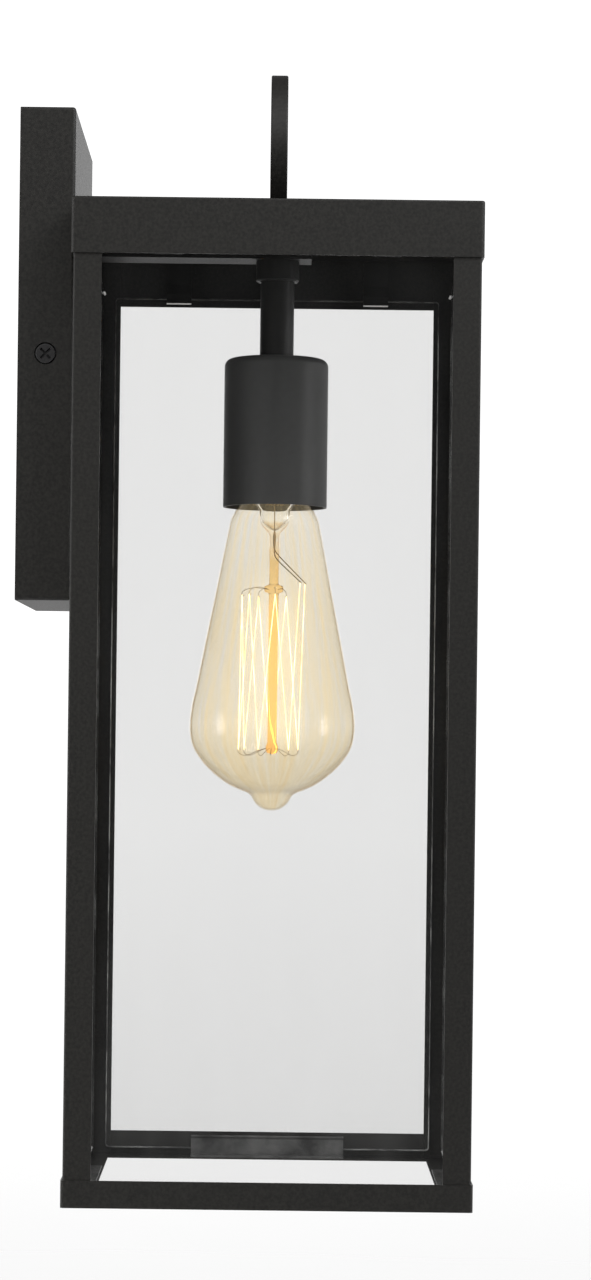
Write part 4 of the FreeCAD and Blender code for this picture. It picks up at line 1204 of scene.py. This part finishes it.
def floor_mesh():
    """A flat disc in rings that widen outwards, in metres."""
    points = [(0, AXIS_Y * MM, FLOOR_Z)]
    faces = []
    for ring in range(1, FLOOR_RINGS + 1):
        reach = FLOOR_R * (ring / FLOOR_RINGS) ** FLOOR_RING_GROWTH
        for k in range(ROUND_SEGMENTS):
            angle = 2 * math.pi * k / ROUND_SEGMENTS
            points.append((reach * math.cos(angle), AXIS_Y * MM + reach * math.sin(angle), FLOOR_Z))
    for k in range(ROUND_SEGMENTS):
        after = (k + 1) % ROUND_SEGMENTS
        faces.append([0, 1 + k, 1 + after])
        for ring in range(FLOOR_RINGS - 1):
            inner = 1 + ring * ROUND_SEGMENTS
            outer = inner + ROUND_SEGMENTS
            faces.append([inner + k, outer + k, outer + after, inner + after])
    mesh = bpy.data.meshes.new("floor")
    mesh.from_pydata(points, [], faces)
    return mesh


def floor_look():
    """Matt pale grey that fades out with distance and isn't there from below."""
    material, tree = new_material("floor_look")
    flat = node(
        tree, "ShaderNodeVectorMath", {0: own_place(tree), 1: (1, 1, 0)}, operation="MULTIPLY"
    ).outputs["Vector"]
    away = node(tree, "ShaderNodeVectorMath", {0: flat}, operation="LENGTH").outputs["Value"]
    path = node(tree, "ShaderNodeLightPath").outputs
    tone = spread(tree, noise(tree, scale=6.0, detail=4.0), *FLOOR_TONE)
    dimmed = maths(tree, "MULTIPLY", tone, FLOOR_DIM)
    albedo = either_or(tree, path["Is Diffuse Ray"], dimmed, tone)
    diffuse = node(tree, "ShaderNodeBsdfDiffuse", {"Color": albedo}).outputs["BSDF"]
    lift = maths(tree, "MULTIPLY", path["Is Camera Ray"], FLOOR_LIFT)
    emission = node(tree, "ShaderNodeEmission", {"Strength": lift}).outputs["Emission"]
    lifted = node(tree, "ShaderNodeAddShader", {0: diffuse, 1: emission}).outputs["Shader"]
    clear = node(tree, "ShaderNodeBsdfTransparent").outputs["BSDF"]
    from_below = node(tree, "ShaderNodeNewGeometry").outputs["Backfacing"]
    fade = maths(tree, "MAXIMUM", spread(tree, away, 0.0, 1.0, *FLOOR_FADE), from_below)
    output(tree, node(tree, "ShaderNodeMixShader", {0: fade, 1: lifted, 2: clear}).outputs["Shader"])
    return material


def floor_disc():
    """A pale round floor well below the lantern, fading into the white backdrop at its rim."""
    floor = add_object("floor", floor_mesh())
    floor.data.materials.append(floor_look())


def soft_light(name, offset, side, power, mirrored):
    """A square lamp at an offset from the lantern's axis, aimed at the lantern."""
    lamp = bpy.data.lights.new(name, "AREA")
    lamp.shape = "RECTANGLE"
    lamp.size = side
    lamp.size_y = side
    lamp.energy = power
    light = add_object(name, lamp)
    axis = Vector((0.0, AXIS_Y * MM, 0.0))
    aim = Vector((0.0, AXIS_Y * MM, SOFTBOX_AIM_Z))
    place_at = axis + Vector(offset)
    light.location = place_at
    light.rotation_euler = (aim - place_at).to_track_quat("-Z", "Y").to_euler()
    light.visible_glossy = mirrored


def camera():
    data = bpy.data.cameras.new("camera")
    data.lens = CAMERA_LENS
    data.sensor_width = CAMERA_SENSOR
    data.shift_x, data.shift_y = CAMERA_SHIFT
    data.clip_start = CAMERA_NEAR
    piece = add_object("camera", data)
    piece.location = CAMERA_PLACE
    piece.rotation_euler = (math.pi / 2, math.radians(CAMERA_ROLL), -math.pi / 2)
    bpy.context.scene.camera = piece


# ---- Assembly ---------------------------------------------------------------------------------------

def main():
    bpy.context.scene.view_settings.view_transform = "Standard"
    finishes = make_finishes()
    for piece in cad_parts.values():
        slot = piece.material_slots[0]
        slot.material = finishes[slot.material.name.split(".")[0]]
    satin = satin_coat()
    own_looks = {
        "socket_cup": enamel_painted_paler(),
        "stem_tube": satin,
        "collar": satin,
        "arm_strap": satin,
        "top_clips": spring_steel("tab_look", TAB_DARK, TAB_LIGHT),
        "bottom_clips": spring_steel("strip_look", STRIP_DARK, STRIP_LIGHT),
    }
    for name, look in own_looks.items():
        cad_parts[name].material_slots[0].material = look

    edge = ground_edge()
    for side in ("right", "wall", "left", "front"):
        pane_node = "glass_" + side
        pane = place(glass_pane(pane_node), "lantern", "panel_glass", finishes["panel_glass"], pane_node)
        pane.data.materials.append(edge)
    place(threaded_nipple(), "lantern", "zinc_steel", finishes["zinc_steel"], "nipple")
    place(screw_shell(), "lantern", "brass", finishes["brass"], "socket_shell")
    place(bulb_glass(), "bulb", "amber_glass", finishes["amber_glass"], "bulb_envelope")
    place(screw_base(), "bulb", "bulb_brass", finishes["bulb_brass"], "bulb_base")
    place(bulb_stem(), "bulb", "stem_glass", finishes["stem_glass"], "glass_stem")
    place(filament_thread(), "bulb", "filament_wire", finishes["filament_wire"], "filament")
    place(filament_hooks(), "bulb", "support_wire", finishes["support_wire"], "filament_supports")
    place(lead_wires(), "bulb", "support_wire", finishes["support_wire"], "bulb_leads")

    studio_world()
    floor_disc()
    for softbox in SOFTBOXES:
        soft_light(*softbox)
    camera()


main()
